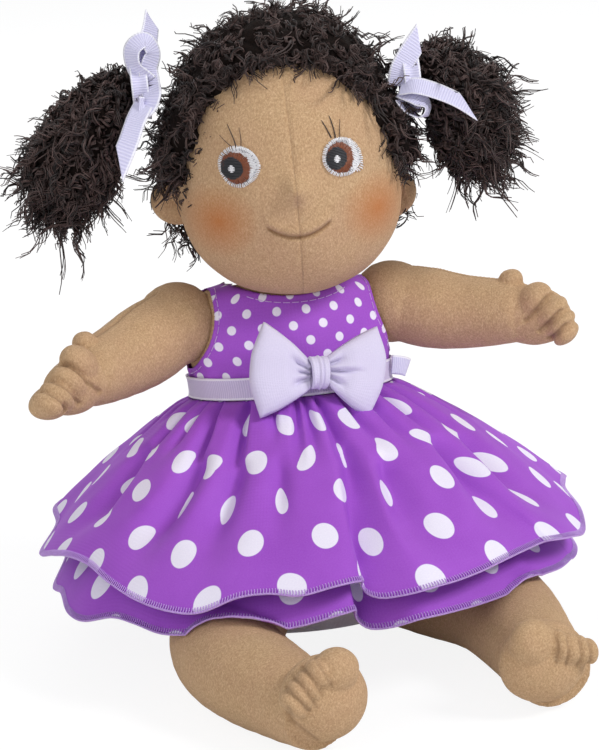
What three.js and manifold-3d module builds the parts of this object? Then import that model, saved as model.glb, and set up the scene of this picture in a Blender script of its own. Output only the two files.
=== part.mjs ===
// A seated cloth doll: stuffed fleece skin, curly hair in two ponytails, a gathered two-tier dress.
// Millimetres, +Z up, the doll faces -Y, and the origin is the middle of the flat seat.
import * as THREE from "three";
import { mergeVertices } from "three/addons/utils/BufferGeometryUtils.js";
import Module from "manifold-3d";

const wasm = await Module();
wasm.setup();

// Clearances and cloth
const gap = 0.3;
const jointGap = 0.5;
const cloth = 1.2;
const ribbonThickness = 0.8;
const restFlat = 0.5;
const overrun = 80;

// Torso, measured along its own axis, which leans back
const torsoHeight = 131;
const torsoLeanDegrees = 8;
const seatHalfWidth = 43;
const seatHalfDepth = 36;
const waistHeight = 90;
const waistHalfWidth = 36.5;
const waistHalfDepth = 28;
const shoulderHalfWidth = 38;
const shoulderHalfDepth = 21;
const pantsHeight = 44;

// Neck and head
const neckRadius = 17;
const neckRise = 12;
const headHalfWidth = 40.5;
const headHalfDepth = 39;
const chinDrop = 41.5;
const chinSink = 11.5;
const jawForward = 12;
const crownRise = 51;
const headForward = 11;
const headAside = 3;
const headTurnDegrees = -13;
const headTiltDegrees = 3.5;
const noseRise = 4.5;
const noseRadius = 5.5;
const smileHalfWidth = 11.4;
const smileDrop = 17.2;
const smileLift = 4.3;
const smileDepth = 1.1;
const eyeSpread = 18.2;
const eyeLift = 8;
const eyeHalfWidth = 7.6;
const eyeHalfHeight = 7.4;
const eyeThread = 0.6;
const earDrop = { left: 14, right: 7 };
const earSetback = { left: 9, right: 4 };
const earHalfWidth = 6;
const earHalfHeight = 9.5;
const earHalfThickness = 4.5;

// Hair
const hairThickness = 11;
const hairlineForward = 19;
const hairlineLeanDegrees = 9;
const napeDrop = 24;
const curlHeight = 2.2;
const tieSpread = { left: 42, right: 45 };
const tieLift = { left: 28, right: 36 };
const tieRadius = 7.5;
const tieWidth = 6;
const ponytailLength = { left: 56, right: 60 };
const hairRibbonWidth = 8;

// Limbs
const shoulderSpread = 42;
const shoulderDrop = 13;
const armRadius = 15.5;
const wristRadius = 12;
const armReach = 43;
const armForward = 28;
const armFall = { left: 1, right: 8 };
const palmHalfLength = 14;
const palmHalfWidth = 12;
const palmHalfThickness = 8.5;
const fingerRadius = 4.6;
const thumbRadius = 5;
const hipSpread = 26;
const hipForward = 10;
const thighRadius = 20.5;
const kneeForward = { left: 44, right: 62 };
const kneeSplay = { left: 25, right: 26 };
const ankleRadius = 15.5;
const ankleForward = { left: 114, right: 120 };
const ankleSplay = { left: 24, right: 11 };
const footHalfHeight = 16.5;
const footHalfWidth = 15;
const footHalfThickness = 9;
const footRise = { left: 5, right: 6 };
const footInset = { left: 4.5, right: 1.5 };
const footRollDegrees = { left: 6, right: 28 };
const toeRadius = 4.5;
const bigToeRadius = 6.8;

// Dress
const necklineHalfWidth = 25;
const necklineDip = 9;
const necklineRise = 14;
const waistRibbonWidth = 8;
const tapeThickness = 0.7;
const tapeWidth = 7;
const flapWidth = 9;
const bowHalfLength = 24.5;
const bowHalfHeight = 18.5;
const bowTiltDegrees = 20;
const bowRollDegrees = 4;
const bowPinch = 5;
const bowThickness = 11;
const knotHalfWidth = 3.4;
const knotHalfHeight = 6.2;
const knotHalfDepth = 5.6;
const skirtReach = 96;
const skirtFrontReach = 104.5;
const skirtBackReach = 94;
const hemLevel = 26;
const hemFrontLevel = 35;
const hemSideDrop = 5;
const tierRise = 9;
const skirtGap = 2.4;
const skirtRest = 1.4;
const foldDepth = 5;
const foldRise = 10;
const gatherCount = 12;
const gatherDepth = 0.4;

const degree = Math.PI / 180;
const right = new THREE.Vector3(1, 0, 0);
const front = new THREE.Vector3(0, -1, 0);
const up = new THREE.Vector3(0, 0, 1);
const sides = [
  { name: "left", sign: 1 },
  { name: "right", sign: -1 },
];

const fleece = new THREE.MeshStandardMaterial({ color: "#c19b6e", roughness: 0.95 });
const pile = new THREE.MeshStandardMaterial({ color: "#2b211d", roughness: 0.9 });
const dottedCotton = new THREE.MeshStandardMaterial({ color: "#a455cc", roughness: 0.8 });
const whiteCotton = new THREE.MeshStandardMaterial({ color: "#e6e3f5", roughness: 0.8 });
const grosgrain = new THREE.MeshStandardMaterial({ color: "#d9d6f0", roughness: 0.6 });
const jersey = new THREE.MeshStandardMaterial({ color: "#f1eef2", roughness: 0.9 });
const thread = new THREE.MeshStandardMaterial({ color: "#f4f0ea", roughness: 0.7 });
const hookTape = new THREE.MeshStandardMaterial({ color: "#efeaf4", roughness: 0.9 });

// A closed solid from a geometry whose faces share their corners.
function solid(geometry) {
  const bare = geometry.clone();
  bare.deleteAttribute("normal");
  bare.deleteAttribute("uv");
  const merged = mergeVertices(bare);
  return new wasm.Manifold(
    new wasm.Mesh({
      numProp: 3,
      vertProperties: new Float32Array(merged.attributes.position.array),
      triVerts: new Uint32Array(merged.index.array),
    }),
  );
}

function geometryOf(body) {
  const mesh = body.getMesh();
  const geometry = new THREE.BufferGeometry();
  geometry.setAttribute("position", new THREE.BufferAttribute(mesh.vertProperties, 3));
  geometry.setIndex(new THREE.BufferAttribute(mesh.triVerts, 1));
  geometry.computeVertexNormals();
  return geometry;
}

function placed(geometry, at) {
  return geometry.clone().translate(at.x, at.y, at.z);
}

// A skin through rings of points, closed on a pole at each end.
function skin(rings, firstPole, lastPole) {
  const count = rings[0].length;
  const points = [firstPole, ...rings.flat(), lastPole];
  const last = points.length - 1;
  const index = [];
  for (let i = 0; i < count; i++) {
    const next = (i + 1) % count;
    index.push(0, 1 + next, 1 + i);
    for (let r = 0; r < rings.length - 1; r++) {
      const a = 1 + r * count;
      const b = a + count;
      index.push(a + i, a + next, b + next, a + i, b + next, b + i);
    }
    const end = last - count;
    index.push(end + i, end + next, last);
  }
  return new THREE.BufferGeometry().setFromPoints(points).setIndex(index);
}

// A closed band: each profile is a closed loop of points, and they follow each other round a ring.
function band(profiles) {
  const count = profiles[0].length;
  const index = [];
  profiles.forEach((_, p) => {
    const a = p * count;
    const b = ((p + 1) % profiles.length) * count;
    for (let i = 0; i < count; i++) {
      const next = (i + 1) % count;
      index.push(a + i, b + i, b + next, a + i, b + next, a + next);
    }
  });
  return new THREE.BufferGeometry().setFromPoints(profiles.flat()).setIndex(index);
}

// A stuffed form: round sections along a path, each with its half width across and half height.
function stuffed(path, across, sections, ringSides, ringCount) {
  const sizes = new THREE.CatmullRomCurve3(
    sections.map(([share, width, height]) => new THREE.Vector3(share, width, height)),
    false,
    "centripetal",
  );
  // A section of four sides is a flat strip, so its corners stand out to its full width.
  const flat = ringSides === 4;
  const start = flat ? Math.PI / 4 : 0;
  const grow = flat ? Math.SQRT2 : 1;
  const rings = [];
  for (let r = 0; r <= ringCount; r++) {
    const size = sizes.getPoint(r / ringCount);
    const share = Math.min(1, Math.max(0, size.x));
    const centre = path.getPoint(share);
    const along = path.getTangent(share);
    const wide = across.clone().addScaledVector(along, -across.dot(along)).normalize();
    const high = along.clone().cross(wide);
    rings.push(
      Array.from({ length: ringSides }, (_, i) => {
        const turn = start + (i / ringSides) * 2 * Math.PI;
        return centre
          .clone()
          .addScaledVector(wide, size.y * grow * Math.cos(turn))
          .addScaledVector(high, size.z * grow * Math.sin(turn));
      }),
    );
  }
  return skin(rings, path.getPoint(0), path.getPoint(1));
}

function ball(at, radius, width, height) {
  return placed(new THREE.SphereGeometry(radius, width, height), at);
}

function box(low, high) {
  const size = high.clone().sub(low);
  return placed(
    new THREE.BoxGeometry(size.x, size.y, size.z),
    low.clone().add(high).multiplyScalar(0.5),
  );
}
function corner(x, y, z) {
  return new THREE.Vector3(x, y, z);
}

// A block under a level, wide enough to hold the whole doll.
function blockUnder(level) {
  const wide = overrun * 5;
  return solid(box(corner(-wide, -wide, -overrun), corner(wide, wide, level)));
}

const lean = new THREE.Matrix4().makeRotationX(-torsoLeanDegrees * degree);

// A point of the torso: across, back and up its leaning axis.
function leaned(across, back, height) {
  return corner(across, back, height).applyMatrix4(lean);
}

// Torso
const chestHeight = torsoHeight - waistHeight;
const torsoSections = [
  // height, half width and half depth
  [0, seatHalfWidth * 0.7, seatHalfDepth * 0.7],
  [waistHeight * 0.06, seatHalfWidth * 0.88, seatHalfDepth * 0.88],
  [waistHeight * 0.17, seatHalfWidth * 0.97, seatHalfDepth * 0.97],
  [waistHeight * 0.36, seatHalfWidth, seatHalfDepth],
  [waistHeight * 0.7, seatHalfWidth * 0.96, seatHalfDepth * 0.93],
  [waistHeight, waistHalfWidth, waistHalfDepth],
  [waistHeight + chestHeight * 0.55, shoulderHalfWidth * 1.03, shoulderHalfDepth * 1.06],
  [waistHeight + chestHeight * 0.81, shoulderHalfWidth * 0.96, shoulderHalfDepth * 0.92],
  [waistHeight + chestHeight * 0.94, shoulderHalfWidth * 0.82, shoulderHalfDepth * 0.8],
  [torsoHeight, shoulderHalfWidth * 0.58, shoulderHalfDepth * 0.58],
];
const torsoSides = 22;
const torsoRings = 11;

// The torso's form, or a layer that lies this far outside it.
function torsoForm(outside) {
  const path = new THREE.LineCurve3(
    leaned(0, 0, -outside),
    leaned(0, 0, torsoHeight + outside),
  );
  const sections = torsoSections.map(([height, width, depth]) => [
    height / torsoHeight,
    width + outside,
    depth + outside,
  ]);
  return solid(stuffed(path, right, sections, torsoSides, torsoRings));
}

function layer(inside, outside) {
  return torsoForm(outside).subtract(torsoForm(inside));
}

// A leaning block between two heights of the torso, wide enough to hold it.
function slab(lowHeight, highHeight, lowAcross = -overrun, highAcross = overrun) {
  return solid(
    box(
      corner(lowAcross, -overrun, lowHeight),
      corner(highAcross, overrun, highHeight),
    ).applyMatrix4(lean),
  );
}

// Arms
const roomSides = 16;
const roomRings = 10;
const armSides = 10;
// Each finger: along the hand as a share of palmHalfLength, up as a share of palmHalfWidth, and its size.
const fingerShares = {
  left: [
    [0.51, 0.44, 1.25],
    [0.96, 0.02, 0.95],
    [1.2, -0.36, 0.82],
    [1.34, -0.62, 0.76],
  ],
  right: [
    [0.44, 0.52, 1.2],
    [0.98, 0.16, 1.05],
    [1.45, -0.1, 0.9],
    [1.86, -0.2, 0.82],
  ],
};

function shoulderOf(sign) {
  return leaned(sign * shoulderSpread, 0, torsoHeight - shoulderDrop);
}

function armPath(side) {
  const shoulder = shoulderOf(side.sign);
  const wrist = shoulder.clone().add(corner(side.sign * armReach, -armForward, -armFall[side.name]));
  const elbow = shoulder.clone().lerp(wrist, 0.5).add(corner(0, armForward * 0.12, 0));
  return new THREE.CatmullRomCurve3([shoulder, elbow, wrist]);
}

function armForm(side, outside) {
  const path = armPath(side);
  const sections = [
    [0, armRadius * 0.9, armRadius * 0.9],
    [0.3, armRadius * 0.97, armRadius * 0.97],
    [0.6, armRadius * 0.88, armRadius * 0.88],
    [0.85, wristRadius * 1.08, wristRadius * 1.08],
    [1, wristRadius, wristRadius],
  ].map(([share, width, height]) => [share, width + outside, height + outside]);
  const tube = solid(stuffed(path, up, sections, armSides, 5));
  return tube.add(solid(ball(shoulderOf(side.sign), armRadius + outside, armSides, 7)));
}

function handForm(side) {
  const path = armPath(side);
  const wrist = path.getPoint(1);
  const along = path.getTangent(1);
  const ahead = front.clone().addScaledVector(along, -front.dot(along)).normalize();
  const turn = new THREE.Matrix4().makeBasis(along, ahead, along.clone().cross(ahead));
  const upper = along.clone().cross(ahead).z > 0 ? 1 : -1;
  const part = (radius, scale, at, around) =>
    solid(
      new THREE.SphereGeometry(radius, around, around * 0.75)
        .scale(scale.x, scale.y, scale.z)
        .translate(at.x, at.y, at.z * upper)
        .applyMatrix4(turn)
        .translate(wrist.x, wrist.y, wrist.z),
    );
  let hand = part(
    1,
    corner(palmHalfLength, palmHalfThickness, palmHalfWidth),
    corner(palmHalfLength * 0.55, 0, 0),
    10,
  );
  for (const [reach, rise, size] of fingerShares[side.name]) {
    hand = hand.add(
      part(
        fingerRadius * size,
        corner(1.1, 1.6, 1.3),
        corner(palmHalfLength * reach, palmHalfThickness * 0.15, palmHalfWidth * rise),
        6,
      ),
    );
  }
  return hand.add(
    part(
      thumbRadius,
      corner(1.3, 1, 0.85),
      corner(palmHalfLength * 0.12, palmHalfThickness * 0.35, palmHalfWidth * 0.92),
      7,
    ),
  );
}

// Legs
const legSides = 12;
const toeCount = 5;

function hipOf(sign) {
  return corner(sign * hipSpread, -hipForward, thighRadius - restFlat);
}

function legPath(side) {
  const hip = hipOf(side.sign);
  const drop = ankleRadius - thighRadius;
  const ahead = (splay, forward, rise) =>
    hip.clone().add(corner(side.sign * splay[side.name], -forward[side.name], rise));
  const knee = ahead(kneeSplay, kneeForward, drop * 0.25);
  const ankle = ahead(ankleSplay, ankleForward, drop);
  return new THREE.CatmullRomCurve3([hip, knee, ankle]);
}

function legForm(side, outside) {
  const sections = [
    [0, thighRadius * 0.9, thighRadius * 0.9],
    [0.3, thighRadius * 0.99, thighRadius * 0.99],
    [0.6, thighRadius * 0.9, thighRadius * 0.92],
    [0.85, ankleRadius * 1.06, ankleRadius * 1.04],
    [1, ankleRadius * 0.9, ankleRadius * 0.92],
  ].map(([share, width, height]) => [share, width + outside, height + outside]);
  const tube = solid(stuffed(legPath(side), up, sections, legSides, 6));
  return tube.add(solid(ball(hipOf(side.sign), thighRadius + outside, legSides, 8)));
}

function footForm(side) {
  const path = legPath(side);
  const ankle = path.getPoint(1);
  const roll = new THREE.Matrix4().makeRotationY(side.sign * footRollDegrees[side.name] * degree);
  const part = (radius, scale, at, around) =>
    solid(
      new THREE.SphereGeometry(radius, around, around * 0.75)
        .scale(scale.x, scale.y, scale.z)
        .translate(at.x * side.sign, at.y, at.z)
        .applyMatrix4(roll)
        .translate(
          ankle.x - side.sign * footInset[side.name],
          ankle.y,
          ankle.z + footRise[side.name],
        ),
    );
  let foot = part(1, corner(footHalfWidth, footHalfThickness, footHalfHeight), corner(0, 0, 0), 10);
  for (let i = 0; i < toeCount; i++) {
    const share = i / (toeCount - 1);
    const radius = bigToeRadius + (toeRadius - bigToeRadius) * Math.min(1, share * 2);
    foot = foot.add(
      part(
        radius,
        corner(1, 1.1, 1),
        corner(
          footHalfWidth * (-0.62 + 1.5 * share),
          -footHalfThickness * 0.45,
          footHalfHeight * (0.72 - 0.62 * share * share),
        ),
        7,
      ),
    );
  }
  return foot;
}

const floorCut = blockUnder(0);

const arms = Object.fromEntries(
  sides.map((side) => [side.name, armForm(side, 0).add(handForm(side))]),
);
const legs = Object.fromEntries(
  sides.map((side) => [side.name, legForm(side, 0).add(footForm(side)).subtract(floorCut)]),
);

// The room that a ball turns in: its flat faces clear the ball's corners at every angle.
function turningRoom(at, radius) {
  const clear = radius / Math.cos(Math.PI / roomSides) / Math.cos(Math.PI / roomRings / 2);
  return solid(ball(at, clear, roomSides, roomRings));
}

// The room that a thigh sweeps from sitting to standing.
function legRoom(side, clear) {
  const sign = side.sign;
  const hip = hipOf(sign);
  const inner = sign * (hipSpread - thighRadius - clear);
  const outer = sign * overrun;
  const below = box(
    corner(Math.min(inner, outer), -overrun, -overrun),
    corner(Math.max(inner, outer), hip.y + thighRadius + clear, hip.z),
  );
  return legForm(side, clear).add(turningRoom(hip, thighRadius + clear)).add(solid(below));
}

const shoulderRooms = sides.map((side) => turningRoom(shoulderOf(side.sign), armRadius + jointGap));
const armholes = sides.map((side) => turningRoom(shoulderOf(side.sign), armRadius + jointGap + cloth));
const legRooms = sides.map((side) => legRoom(side, jointGap));

// Neck and head
const nodPivot = leaned(0, 0, torsoHeight + neckRise);
const neckTop = torsoHeight + gap;

function neckForm(outside) {
  const profile = [new THREE.Vector2(0, neckTop - outside)];
  profile.push(new THREE.Vector2(neckRadius + outside, neckTop - outside));
  const steps = 5;
  for (let i = 0; i <= steps; i++) {
    const turn = (i / steps) * 90 * degree;
    profile.push(
      new THREE.Vector2(
        i === steps ? 0 : (neckRadius + outside) * Math.cos(turn),
        torsoHeight + neckRise + (neckRadius + outside) * Math.sin(turn),
      ),
    );
  }
  return solid(new THREE.LatheGeometry(profile, 18).rotateX(90 * degree).applyMatrix4(lean));
}

const headPlace = new THREE.Matrix4()
  .makeTranslation(nodPivot.x, nodPivot.y, nodPivot.z)
  .multiply(new THREE.Matrix4().makeRotationZ(headTurnDegrees * degree))
  .multiply(new THREE.Matrix4().makeTranslation(headAside, -headForward, chinDrop - chinSink))
  .multiply(new THREE.Matrix4().makeRotationY(-headTiltDegrees * degree));

// A point inside the head: across, back and up from the middle of the face.
function headPoint(across, back, height) {
  return corner(across, back, height).applyMatrix4(headPlace);
}

function headSurface(unit, outside) {
  const rise = unit.z > 0 ? crownRise : chinDrop;
  const cheek = 1 + 0.03 * Math.max(0, -unit.z) * (1 + unit.z) * 4;
  return corner(
    unit.x * (headHalfWidth + outside) * cheek,
    unit.y * (headHalfDepth + outside) - jawForward * Math.min(0, unit.z) ** 2,
    unit.z * (rise + outside),
  );
}

const headAround = 24;
const headDown = 18;

function headBall(outside, around = headAround, down = headDown, lump = null) {
  const geometry = new THREE.SphereGeometry(1, around, down).rotateX(90 * degree);
  const place = geometry.attributes.position;
  for (let i = 0; i < place.count; i++) {
    const unit = new THREE.Vector3().fromBufferAttribute(place, i);
    const point = headSurface(unit, outside + (lump ? lump(unit) : 0));
    place.setXYZ(i, point.x, point.y, point.z);
  }
  return solid(geometry.applyMatrix4(headPlace));
}

function frontAt(across, height) {
  const rise = height > 0 ? crownRise : chinDrop;
  const share = 1 - (across / headHalfWidth) ** 2 - (height / rise) ** 2;
  const jaw = jawForward * Math.min(0, height / rise) ** 2;
  return -headHalfDepth * Math.sqrt(Math.max(0, share)) - jaw;
}

// The crease of the smile, from one corner of the mouth to the other.
function smileCrease() {
  const points = [-1, -0.5, 0, 0.5, 1].map((share) => {
    const across = share * smileHalfWidth;
    const height = -smileDrop + smileLift * share * share;
    return headPoint(across, frontAt(across, height), height);
  });
  const path = new THREE.CatmullRomCurve3(points);
  const sections = [
    [0, smileDepth * 0.3, smileDepth * 0.3],
    [0.2, smileDepth, smileDepth],
    [0.8, smileDepth, smileDepth],
    [1, smileDepth * 0.3, smileDepth * 0.3],
  ];
  return solid(stuffed(path, up, sections, 6, 10));
}

const nose = solid(
  new THREE.SphereGeometry(noseRadius, 10, 8)
    .translate(0, -headHalfDepth + noseRadius - noseRise, 0)
    .applyMatrix4(headPlace),
);
// The head's socket stays clear of the neck while the head nods.
const headSocket = (() => {
  const clear = neckRadius + jointGap;
  const profile = [
    new THREE.Vector2(0, -neckRise - overrun),
    new THREE.Vector2(clear * 1.5, -neckRise - overrun),
    new THREE.Vector2(clear * 1.2, -neckRise),
  ];
  const steps = 5;
  for (let i = 0; i <= steps; i++) {
    const turn = (i / steps) * 90 * degree;
    profile.push(
      new THREE.Vector2(i === steps ? 0 : clear * Math.cos(turn), clear * Math.sin(turn)),
    );
  }
  return solid(
    new THREE.LatheGeometry(profile, 18)
      .rotateX(90 * degree)
      .applyMatrix4(lean)
      .translate(nodPivot.x, nodPivot.y, nodPivot.z),
  );
})();
const headSkin = headBall(0).add(nose);
const head = headSkin.subtract(headSocket).subtract(smileCrease());

function eyeForm(sign) {
  const outline = new THREE.Shape();
  outline.absellipse(sign * eyeSpread, eyeLift, eyeHalfWidth, eyeHalfHeight, 0, 2 * Math.PI);
  const cutter = solid(
    new THREE.ExtrudeGeometry(outline, { depth: overrun, bevelEnabled: false, curveSegments: 7 })
      .rotateX(90 * degree)
      .applyMatrix4(headPlace),
  );
  return headBall(gap + eyeThread)
    .subtract(headBall(gap))
    .intersect(cutter);
}

function earBall(side, outside) {
  return solid(
    new THREE.SphereGeometry(1, 10, 8)
      .scale(
        earHalfWidth + earHalfThickness + outside,
        earHalfThickness + outside,
        earHalfHeight + outside,
      )
      .translate(side.sign * headHalfWidth, earSetback[side.name], -earDrop[side.name])
      .applyMatrix4(headPlace),
  );
}

// Curls swell the hair in lumps.
function curls(point, size) {
  const turn = (2 * Math.PI) / size;
  return (
    curlHeight *
    (Math.sin(point.x * turn + 1) * Math.sin(point.y * turn + 2) * Math.sin(point.z * turn + 3) +
      0.5 * Math.sin(point.x * turn * 2 + point.z * turn) * Math.cos(point.y * turn * 2))
  );
}

const hairForm = headBall(hairThickness, 24, 18, (unit) =>
  curls(headSurface(unit, 0), curlHeight * 8),
);
const hairRoom = solid(
  box(corner(-overrun * 2, 0, -overrun * 2), corner(overrun * 2, overrun * 2, overrun * 2))
    .rotateX(hairlineLeanDegrees * degree)
    .translate(0, -hairlineForward, 0)
    .applyMatrix4(headPlace),
);
const earRoom = solid(
  box(
    corner(-overrun * 2, -overrun * 2, -overrun * 2),
    corner(overrun * 2, earSetback.right + earHalfThickness * 1.6, 0),
  ).applyMatrix4(headPlace),
);
const napeRoom = solid(
  box(
    corner(-overrun * 2, -overrun * 2, -overrun * 2),
    corner(overrun * 2, overrun * 2, -napeDrop),
  ).applyMatrix4(headPlace),
);

// Ponytails
// Each row: across, back and up from the tie, half width and half depth, as shares of the tail's length.
const ponytailShares = {
  left: [
    [0, 0, 0, 0.12, 0.12],
    [0.2, 0, -0.02, 0.19, 0.17],
    [0.4, 0, -0.14, 0.32, 0.29],
    [0.51, 0, -0.42, 0.35, 0.32],
    [0.57, 0, -0.72, 0.24, 0.22],
    [0.62, 0, -0.96, 0.07, 0.07],
  ],
  right: [
    [0, 0, 0, 0.12, 0.12],
    [0.21, 0, -0.06, 0.19, 0.18],
    [0.44, 0, -0.26, 0.33, 0.31],
    [0.54, 0, -0.56, 0.36, 0.33],
    [0.5, 0, -0.86, 0.25, 0.23],
    [0.46, 0, -1.06, 0.07, 0.07],
  ],
};

const wrapRadius = tieRadius * 1.7;
const dishDepth = tieRadius * 0.4;
const dishShares = [2.3, 0.42];

// A round piece about a tie, from rows of its radius and how far out from the tie.
function aboutTie(side, rows) {
  return solid(
    new THREE.LatheGeometry(
      rows.map(([radius, across]) => new THREE.Vector2(radius, across)),
      roomSides,
    )
      .rotateZ(-side.sign * 90 * degree)
      .translate(side.sign * tieSpread[side.name], 0, tieLift[side.name])
      .applyMatrix4(headPlace),
  );
}

// The hair is drawn in round each tie, in a dish that the ribbon and the tail swing clear of.
function tieDish(side) {
  const reach = wrapRadius + jointGap * 2;
  return aboutTie(side, [
    [0, -dishDepth],
    [reach, -dishDepth],
    [reach * dishShares[0], reach * dishShares[1]],
    [reach * dishShares[0], overrun],
    [0, overrun],
  ]);
}

// The root of a tail, where its hair is sewn to the floor of the dish.
function tailRoot(side, outside) {
  const radius = tieRadius * 0.85 + outside;
  return aboutTie(side, [
    [0, gap - dishDepth],
    [radius, gap - dishDepth],
    [radius, dishDepth],
    [0, dishDepth],
  ]);
}

function ponytailForm(side, outside) {
  const length = ponytailLength[side.name];
  const shares = ponytailShares[side.name];
  const points = shares.map(([across, back, rise]) =>
    headPoint(
      side.sign * (tieSpread[side.name] + across * length),
      back * length,
      tieLift[side.name] + rise * length,
    ),
  );
  const path = new THREE.CatmullRomCurve3(points);
  const last = shares.length - 1;
  const sections = shares.map(([, , , width, depth], i) => [
    i / last,
    width * length + outside,
    depth * length + outside,
  ]);
  const geometry = stuffed(path, front, sections, 14, 12);
  const place = geometry.attributes.position;
  const middle = path.getPoint(0.5);
  for (let i = 0; i < place.count; i++) {
    const point = new THREE.Vector3().fromBufferAttribute(place, i);
    const away = point.clone().sub(middle).normalize();
    const far = Math.min(1, point.distanceTo(points[0]) / (tieRadius * 2) - 0.6);
    point.addScaledVector(away, Math.max(0, far) * curls(point, curlHeight * 8));
    place.setXYZ(i, point.x, point.y, point.z);
  }
  return solid(geometry).add(tailRoot(side, outside));
}

// Hair ribbons: each is wound round its tie and ends in two loops and two tails.
// Each row: across, back and up from the tie, in tie widths.
const ribbonShares = {
  left: [
    [
      [0, -1.6, 0],
      [0.9, -2.6, 1.2],
      [1.4, -2.8, 2.6],
    ],
    [
      [0, -1.6, 0],
      [1.9, -3.6, -0.4],
      [4.1, -4.4, -1.6],
    ],
    [
      [0, -1.5, -0.1],
      [0.6, -2.9, -1.1],
      [0.5, -2.7, -2.1],
      [0.1, -1.9, -1.2],
      [0, -1.3, -0.2],
    ],
  ],
  right: [
    [
      [0, -1.6, 0],
      [-0.1, -2.2, 2.1],
      [-0.7, -2.4, 4.2],
    ],
    [
      [0, -1.6, 0],
      [0.5, -3.1, -2.6],
      [1.3, -3.7, -5.4],
    ],
    [
      [0, -1.5, 0.2],
      [0.6, -2.8, 1.6],
      [0.5, -2.3, 2.9],
      [0.3, -1.7, 1.6],
      [0, -1.3, 0.3],
    ],
  ],
};

function hairRibbonForm(side, outside) {
  const tie = (across, back, rise) =>
    headPoint(
      side.sign * (tieSpread[side.name] + tieWidth * across),
      tieWidth * back,
      tieLift[side.name] + tieWidth * rise,
    );
  const wrapPath = new THREE.LineCurve3(tie(0.35, 0, 0), tie(1.35, 0, 0));
  const wrapSections = [0, 1].map((share) => [share, wrapRadius + outside, wrapRadius + outside]);
  const half = hairRibbonWidth / 2 + outside;
  const thick = ribbonThickness / 2 + outside;
  return ribbonShares[side.name].reduce(
    (ribbon, shares) => {
      const path = new THREE.CatmullRomCurve3(
        shares.map(([across, back, rise]) => tie(across + 0.85, back, rise)),
      );
      const loop = shares.length > 3;
      const sections = [
        [0, half * 0.6, thick],
        [0.5, half, thick],
        [1, loop ? half * 0.6 : half, thick],
      ];
      return ribbon.add(solid(stuffed(path, right, sections, 4, 6)));
    },
    solid(stuffed(wrapPath, up, wrapSections, 12, 1)),
  );
}

// The doll hangs together as its joints do: each group's origin is the point that it turns about.
function jointed(parent, at) {
  const turning = new THREE.Group();
  parent.add(turning);
  turning.position.copy(parent.worldToLocal(at.clone()));
  turning.updateWorldMatrix(true, false);
  return turning;
}

const doll = new THREE.Group();
const neckGroup = jointed(doll, leaned(0, 0, torsoHeight));
const headGroup = jointed(neckGroup, nodPivot);
const groups = Object.fromEntries(
  sides.map((side) => [
    side.name,
    {
      arm: jointed(doll, shoulderOf(side.sign)),
      leg: jointed(doll, hipOf(side.sign)),
      ponytail: jointed(
        headGroup,
        headPoint(side.sign * tieSpread[side.name], 0, tieLift[side.name]),
      ),
    },
  ]),
);

// A named piece in the group that it moves with.
function show(name, body, material, parent = doll) {
  const mesh = new THREE.Mesh(geometryOf(body), material);
  mesh.name = name;
  mesh.geometry.applyMatrix4(parent.matrixWorld.clone().invert());
  parent.add(mesh);
}

function without(body, rooms) {
  return rooms.reduce((left, room) => left.subtract(room), body);
}

show("torso", without(torsoForm(0), [blockUnder(cloth + gap), ...shoulderRooms, ...legRooms]), fleece);
show("neck", neckForm(0), fleece, neckGroup);
show("head", head, fleece, headGroup);
const pantsInside = torsoForm(gap).subtract(blockUnder(cloth));
const pants = torsoForm(gap + cloth)
  .subtract(pantsInside)
  .intersect(slab(-overrun, pantsHeight))
  .subtract(floorCut);
show("underpants", without(pants, legRooms), jersey);
for (const side of sides) {
  const { arm, leg, ponytail } = groups[side.name];
  show("arm_" + side.name, arms[side.name], fleece, arm);
  show("leg_" + side.name, legs[side.name], fleece, leg);
  show("ear_" + side.name, earBall(side, 0).subtract(headBall(gap)), fleece, headGroup);
  show("eye_" + side.name, eyeForm(side.sign), thread, headGroup);
  show("ponytail_" + side.name, ponytailForm(side, 0), pile, ponytail);
  const ribbon = hairRibbonForm(side, 0).subtract(ponytailForm(side, gap));
  show("hair_ribbon_" + side.name, ribbon, grosgrain, ponytail);
}
const hairCap = without(hairForm.intersect(hairRoom), [
  headBall(gap * 3, 18, 14),
  headSocket,
  napeRoom,
  earRoom,
  ...sides.map((side) => earBall(side, gap)),
  ...sides.map((side) => ponytailForm(side, jointGap)),
  ...sides.map((side) => hairRibbonForm(side, jointGap)),
  ...sides.map((side) => tieDish(side)),
]);
show("hair_cap", hairCap, pile, headGroup);

// Dress
const bodiceInside = gap;
const bodiceOutside = bodiceInside + cloth;
const neckline = solid(
  new THREE.SphereGeometry(1, 24, 16)
    .scale(necklineHalfWidth, overrun, necklineRise)
    .translate(0, 0, torsoHeight - necklineDip + necklineRise)
    .applyMatrix4(lean),
);
const bodice = without(
  layer(bodiceInside, bodiceOutside).intersect(slab(waistHeight, torsoHeight + overrun)),
  [neckline, ...armholes],
);
const frontRoom = solid(
  box(corner(-overrun, -overrun, -overrun), corner(overrun, -gap / 2, overrun * 4)).applyMatrix4(lean),
);
const backRoom = solid(
  box(corner(-overrun, gap / 2, -overrun), corner(overrun, overrun, overrun * 4)).applyMatrix4(lean),
);
show("bodice_front", bodice.intersect(frontRoom), dottedCotton);
const bodiceBack = bodice.intersect(backRoom);
show(
  "bodice_back_right",
  bodiceBack.intersect(slab(-overrun, overrun * 4, -overrun, -gap / 2)),
  dottedCotton,
);
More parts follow.
